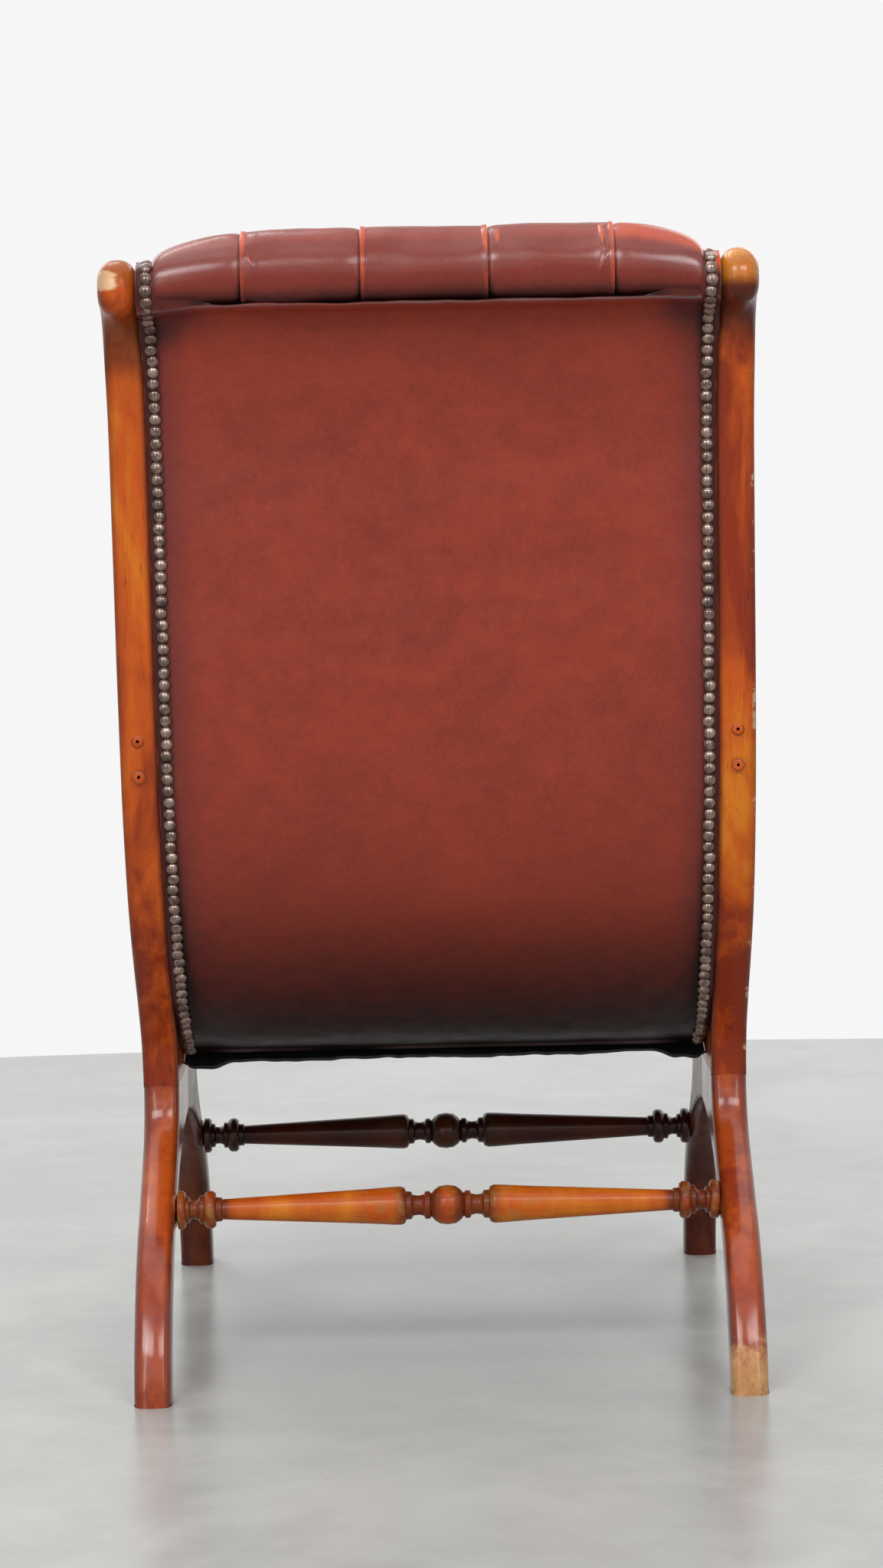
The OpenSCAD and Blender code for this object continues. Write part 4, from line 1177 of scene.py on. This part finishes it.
nailShape = {
    "Width": 0.0107, "Rise": 0.0036, "Segments": 14, "Rings": 10, "Tilt": 0.09, "scatter": 0.35, "lift": 0.2}
edgeStack = chair["leather"] * 2


def evenPlaces(path, pitch):
    # places on a path in the side view, with their outward directions
    run = runAlong(path)
    s = np.arange(pitch / 2, run[-1], pitch)
    way = pointsAt(s + 1, run, path) - pointsAt(s - 1, run, path)
    return pointsAt(s, run, path), -across(unit(way))


def nailRow(node, path, side, seed):
    places, out = evenPlaces(path, chair["nailPitch"])
    x = side * (nailX + np.random.default_rng(seed).normal(0, nailShape["scatter"], len(places)))
    normals = np.stack([np.zeros(len(out)), -out[:, 0], out[:, 1]], -1)
    points = toWorld(x, places + out * nailShape["lift"])
    piece = studded(node + ".heads", points, normals, {**nailShape, "Seed": seed}, finishes["nail"])
    settle(piece, node)


rearPath = np.array([off(i, -edgeStack) for i in np.arange(hemI + 0.45, 0.9, -0.4)]
                    + [scrollC + aim(a) * (endRadius + edgeStack) for a in np.arange(262, 116, -8)])
frontPath = np.array([scrollC + aim(90) * (endRadius + edgeStack)]
                     + [off(i, carcass + edgeStack) for i in np.arange(1, stations + 0.1, 0.5)]
                     + [frontC + aim(a) * (endRadius + edgeStack) for a in np.arange(82, -71, -8)])
for side, name in sides:
    nailRow(name + "_rear_nails", rearPath, side, 3 + side)
    nailRow(name + "_front_nails", frontPath, side, 5 + side)
print("nails made")


def skinAt(skin, rings, x, v):
    # the point of a cover's skin nearest to a place in the pattern of buttons, and its normal
    r = int(np.argmin(np.abs(rings[:, 6] - v) + (rings[:, 7] < 0.9) * 10))
    c = int(np.argmin(np.abs(skin[r, :, 0] - x * mm)))
    return skin[r, c], unit(np.cross(skin[r, c + 2] - skin[r, c - 2], skin[r + 2, c] - skin[r - 2, c]))


buttonShape = {
    "Width": 0.018, "Rise": 0.0055, "Segments": 16, "Rings": 10, "Tilt": 0.05, "Seed": 9, "lift": 0.0008}


def buttonSet(node, skin, rings, rows, upward):
    points, normals = [], []
    for row in range(rows):
        for u in range(row % 2 - 3, 4 - row % 2, 2):
            point, out = skinAt(skin, rings, u * chair["buttonPitch"] / 2, row)
            out = out if out @ upward > 0 else -out
            points.append(point + out * buttonShape["lift"])
            normals.append(out)
    settle(studded(node + ".covered", points, normals, buttonShape, finishes["button"]), node)


buttonSet("back_buttons", backSkin, backRings, backRows, np.array([0, -1, 0.3]))
buttonSet("seat_buttons", seatSkin, seatRings, seatRows, np.array([0, -0.3, 1]))
print("buttons made")


# Leather bands under the rear nails: a narrow rippled strip with a rounded outer edge
bandShape = {
    "step": 2.5, "shares": [0, 0.03, 0.1, 0.22, 0.36, 0.5, 0.64, 0.78, 0.9, 0.97, 1.0],
    "bare": (-54, 8), "rib": 0.9, "ribPlace": 3, "ribWidth": 2.4, "grip": 0.7, "gripWidth": 4.5, "bulge": 0.9,
    "outerRise": 1.2, "innerRise": 0.1, "darkeningRun": 160, "wearAndHighlight": {1: 0.1, -1: 0.9},
}


def bandPiece(node, side):
    wall = [off(i, 0) for i in np.arange(hemI + 1.1, 0.4, -0.25)]
    scroll = [scrollC + aim(a) * endRadius for a in np.arange(268, 88, -5)]
    path, run = curved(np.array(wall + scroll), bandShape["step"])
    shares = np.array(bandShape["shares"])
    inner, outer = frameInner - chair["bandWidth"], frameInner - chair["gap"]
    x, s = np.meshgrid(inner + (outer - inner) * shares, run)
    bare = ramp(s - run[-1], *bandShape["bare"])  # above the seam no sheet covers its inner half
    body = edgeStack * (1 - np.abs(2 * shares - 1) ** 6) * mix(ease((x - nailX + 5.5) / 4.5), 1, bare)
    rib = bandShape["rib"] * bell(x - frameInner + bandShape["ribPlace"], bandShape["ribWidth"])
    rib = rib * (0.7 + 0.3 * smoothNoise(x.shape, (40, 2), 31 + side))
    grip = bell(x - nailX, bandShape["gripWidth"])
    height = body + rib - bandShape["grip"] * grip * ripple(s)
    height[:, 0] = bandShape["innerRise"]
    bulge = bandShape["bulge"] + bandShape["bulge"] * smoothNoise((len(path), 2), (46, 1), 41 + side)[:, :1]
    x = x + np.clip(bulge, 0, 2.2) * ease((shares - 0.75) / 0.2) * (1 - ease((s - run[-1] + 60) / 40))
    height[:, -1] = bandShape["outerRise"]
    verts = toWorld(side * x, path[:, None, :] - sheetNormals(path) * height[..., None])
    # plum of painted shade towards the outer edge; painted shade at the nails and darker towards the bottom; wear
    # and painted highlight at the top of the outer edge
    edge = np.clip(ease((x - nailX) / 5) * 0.9 + 0.35, 0, 1)
    grimeAndShade = np.clip(0.52 + 0.4 * grip + 0.5 * (1 - ease(s / bandShape["darkeningRun"])), 0, 1)
    wearAndHighlight = ease((s - run[-1] + 34) / 18) * ease((x - nailX - 1) / 4) * bandShape["wearAndHighlight"][side]
    piece = newPiece(node + ".leather", verts.reshape(-1, 3), gridFaces(*x.shape), finishes["panel"],
                     {"edge": edge.ravel(), "grimeAndShade": grimeAndShade.ravel(), "wearAndHighlight": wearAndHighlight.ravel()})
    facing(piece, (0, 1, 0))
    settle(piece, node)


for side, name in sides:
    bandPiece(name + "_rear_band", side)
print("bands made")


# Stretchers, turned again with a finer surface on the construction's own profile
turning = {
    "segments": 56, "shoulder": 9, "tenonShare": 0.55, "shade": 11, "grooveDepth": 4, "swellFrom": 13,
    "swellSpan": 3, "deepGroove": 0.85, "smoothAngle": 50, "thinnest": 0.4, "apart": 0.05,
}


def stretcherPiece(node, finish):
    spots = spotsOf(node)
    centre = (spots.min(axis=0) + spots.max(axis=0)) / 2
    radius = np.hypot(spots[:, 1] - centre[1], spots[:, 2] - centre[2])
    profile = sorted({(round(float(x), 2), round(float(r), 2)) for x, r in zip(spots[:, 0], radius)})
    kept = [profile[0]]
    for x, r in profile[1:]:
        if r > turning["thinnest"] and abs(x - kept[-1][0]) + abs(r - kept[-1][1]) > turning["apart"]:
            kept.append((x, r))
    kept = np.array([k for k in kept if k[1] > turning["thinnest"]])
    kept[np.abs(kept[:, 0]) > frameInner + 0.02, 1] *= turning["tenonShare"]
    swell = kept[:, 1]
    wide = np.array([swell[np.abs(kept[:, 0] - x) < turning["shoulder"]].max() for x in kept[:, 0]])
    grooveShade = np.clip((wide - swell) / turning["grooveDepth"], 0, 1)
    deep = kept[grooveShade > turning["deepGroove"], 0]
    near = np.abs(kept[:, :1] - deep[None, :]).min(axis=1)
    # painted shade in the grooves, spreading to a darker tone beside the deep ones
    grooveShade = np.maximum(grooveShade, 0.62 * bell(near, turning["shade"]))
    bulge = np.clip((swell - turning["swellFrom"]) / turning["swellSpan"], 0, 1)
    around = np.linspace(0, 2 * np.pi, turning["segments"], endpoint=False)
    rings = [np.stack([np.full(len(around), x), centre[1] + r * np.cos(around), centre[2] + r * np.sin(around)], -1)
             for x, r in kept]
    count = len(around)
    piece = newPiece(node + ".turned", np.concatenate(rings) * mm, tubeFaces(len(kept), count), finish, {
        "grooveShade": np.repeat(grooveShade, count), "swell": np.repeat(bulge, count)})
    outward(piece)
    piece.data.set_sharp_from_angle(angle=math.radians(turning["smoothAngle"]))
    return settle(piece, node)


stretcherPiece("rear_stretcher", finishes["turnedRear"])
stretcherPiece("front_stretcher", finishes["turnedFront"])
print("stretchers made")

# Screw plugs in the stiles, each a turned button of wood in its hole
plugs = {
    "height": 525, "gap": 30, "radius": 4.5, "proud": 0.6, "lift": 0.12, "corners": 24, "lookBetween": (400, 700),
    # share of the radius, share of the height, painted shade; the last ring is the dark seam round the plug,
    # painted shade in the gap
    "rings": [(0.3, 1, 0), (0.7, 0.95, 0), (0.9, 0.7, 0.05), (1, 0.2, 0.3), (1.02, 0.05, 0.55), (1.2, -0.1, 0.5)],
}


def plugPieces():
    verts, faces, grooveShade = [], [], []
    back = outlines["back_stile"]
    lowest, highest = plugs["lookBetween"]
    back = back[(back[:, 1] > lowest) & (back[:, 1] < highest)]
    a = np.radians(np.arange(plugs["corners"]) * 360 / plugs["corners"])
    for side, k in ((1, 0), (1, 1), (-1, 0), (-1, 1)):
        z = plugs["height"] + k * plugs["gap"]
        f = min(back[np.argsort(np.abs(back[:, 1] - z))[:4], 0])
        x = side * (frameInner + chair["frameThick"] / 2)
        first = len(verts)
        for share, rise, paintedShade in plugs["rings"]:
            r = plugs["radius"] * share
            fz = np.stack([f - rise * plugs["proud"] - plugs["lift"] + 0 * a, z + r * np.sin(a)], -1)
            verts += list(toWorld(x + r * np.cos(a), fz))
            grooveShade += [paintedShade] * len(a)
        faces += [[v + first for v in face] for face in gridFaces(len(plugs["rings"]), len(a), closed=True)]
        faces.append(range(first, first + len(a)))
    piece = newPiece("screw_plugs.turned", verts, faces, finishes["plug"], {"grooveShade": grooveShade})
    facing(piece, (0, 1, 0))
    settle(piece, "screw_plugs")


plugPieces()

# The construction's own meshes, with materials
plain = {
    "innerWood": ["leg_dowels", "centre_dowels", "left_body_rail", "right_body_rail", "crest_rail",
                  "rear_tie_rail", "front_bar"],
    "steel": ["lap_screws", "body_screws"], "webbing": ["back_webbing", "seat_webbing"],
    "hessian": ["back_hessian", "seat_hessian"], "foam": ["back_foam_pad", "seat_foam_pad"],
    "panel": ["left_front_band", "right_front_band"],
}
for key, nodes in plain.items():
    for node in nodes:
        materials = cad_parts[node].data.materials
        materials.clear()
        materials.append(finishes[key])
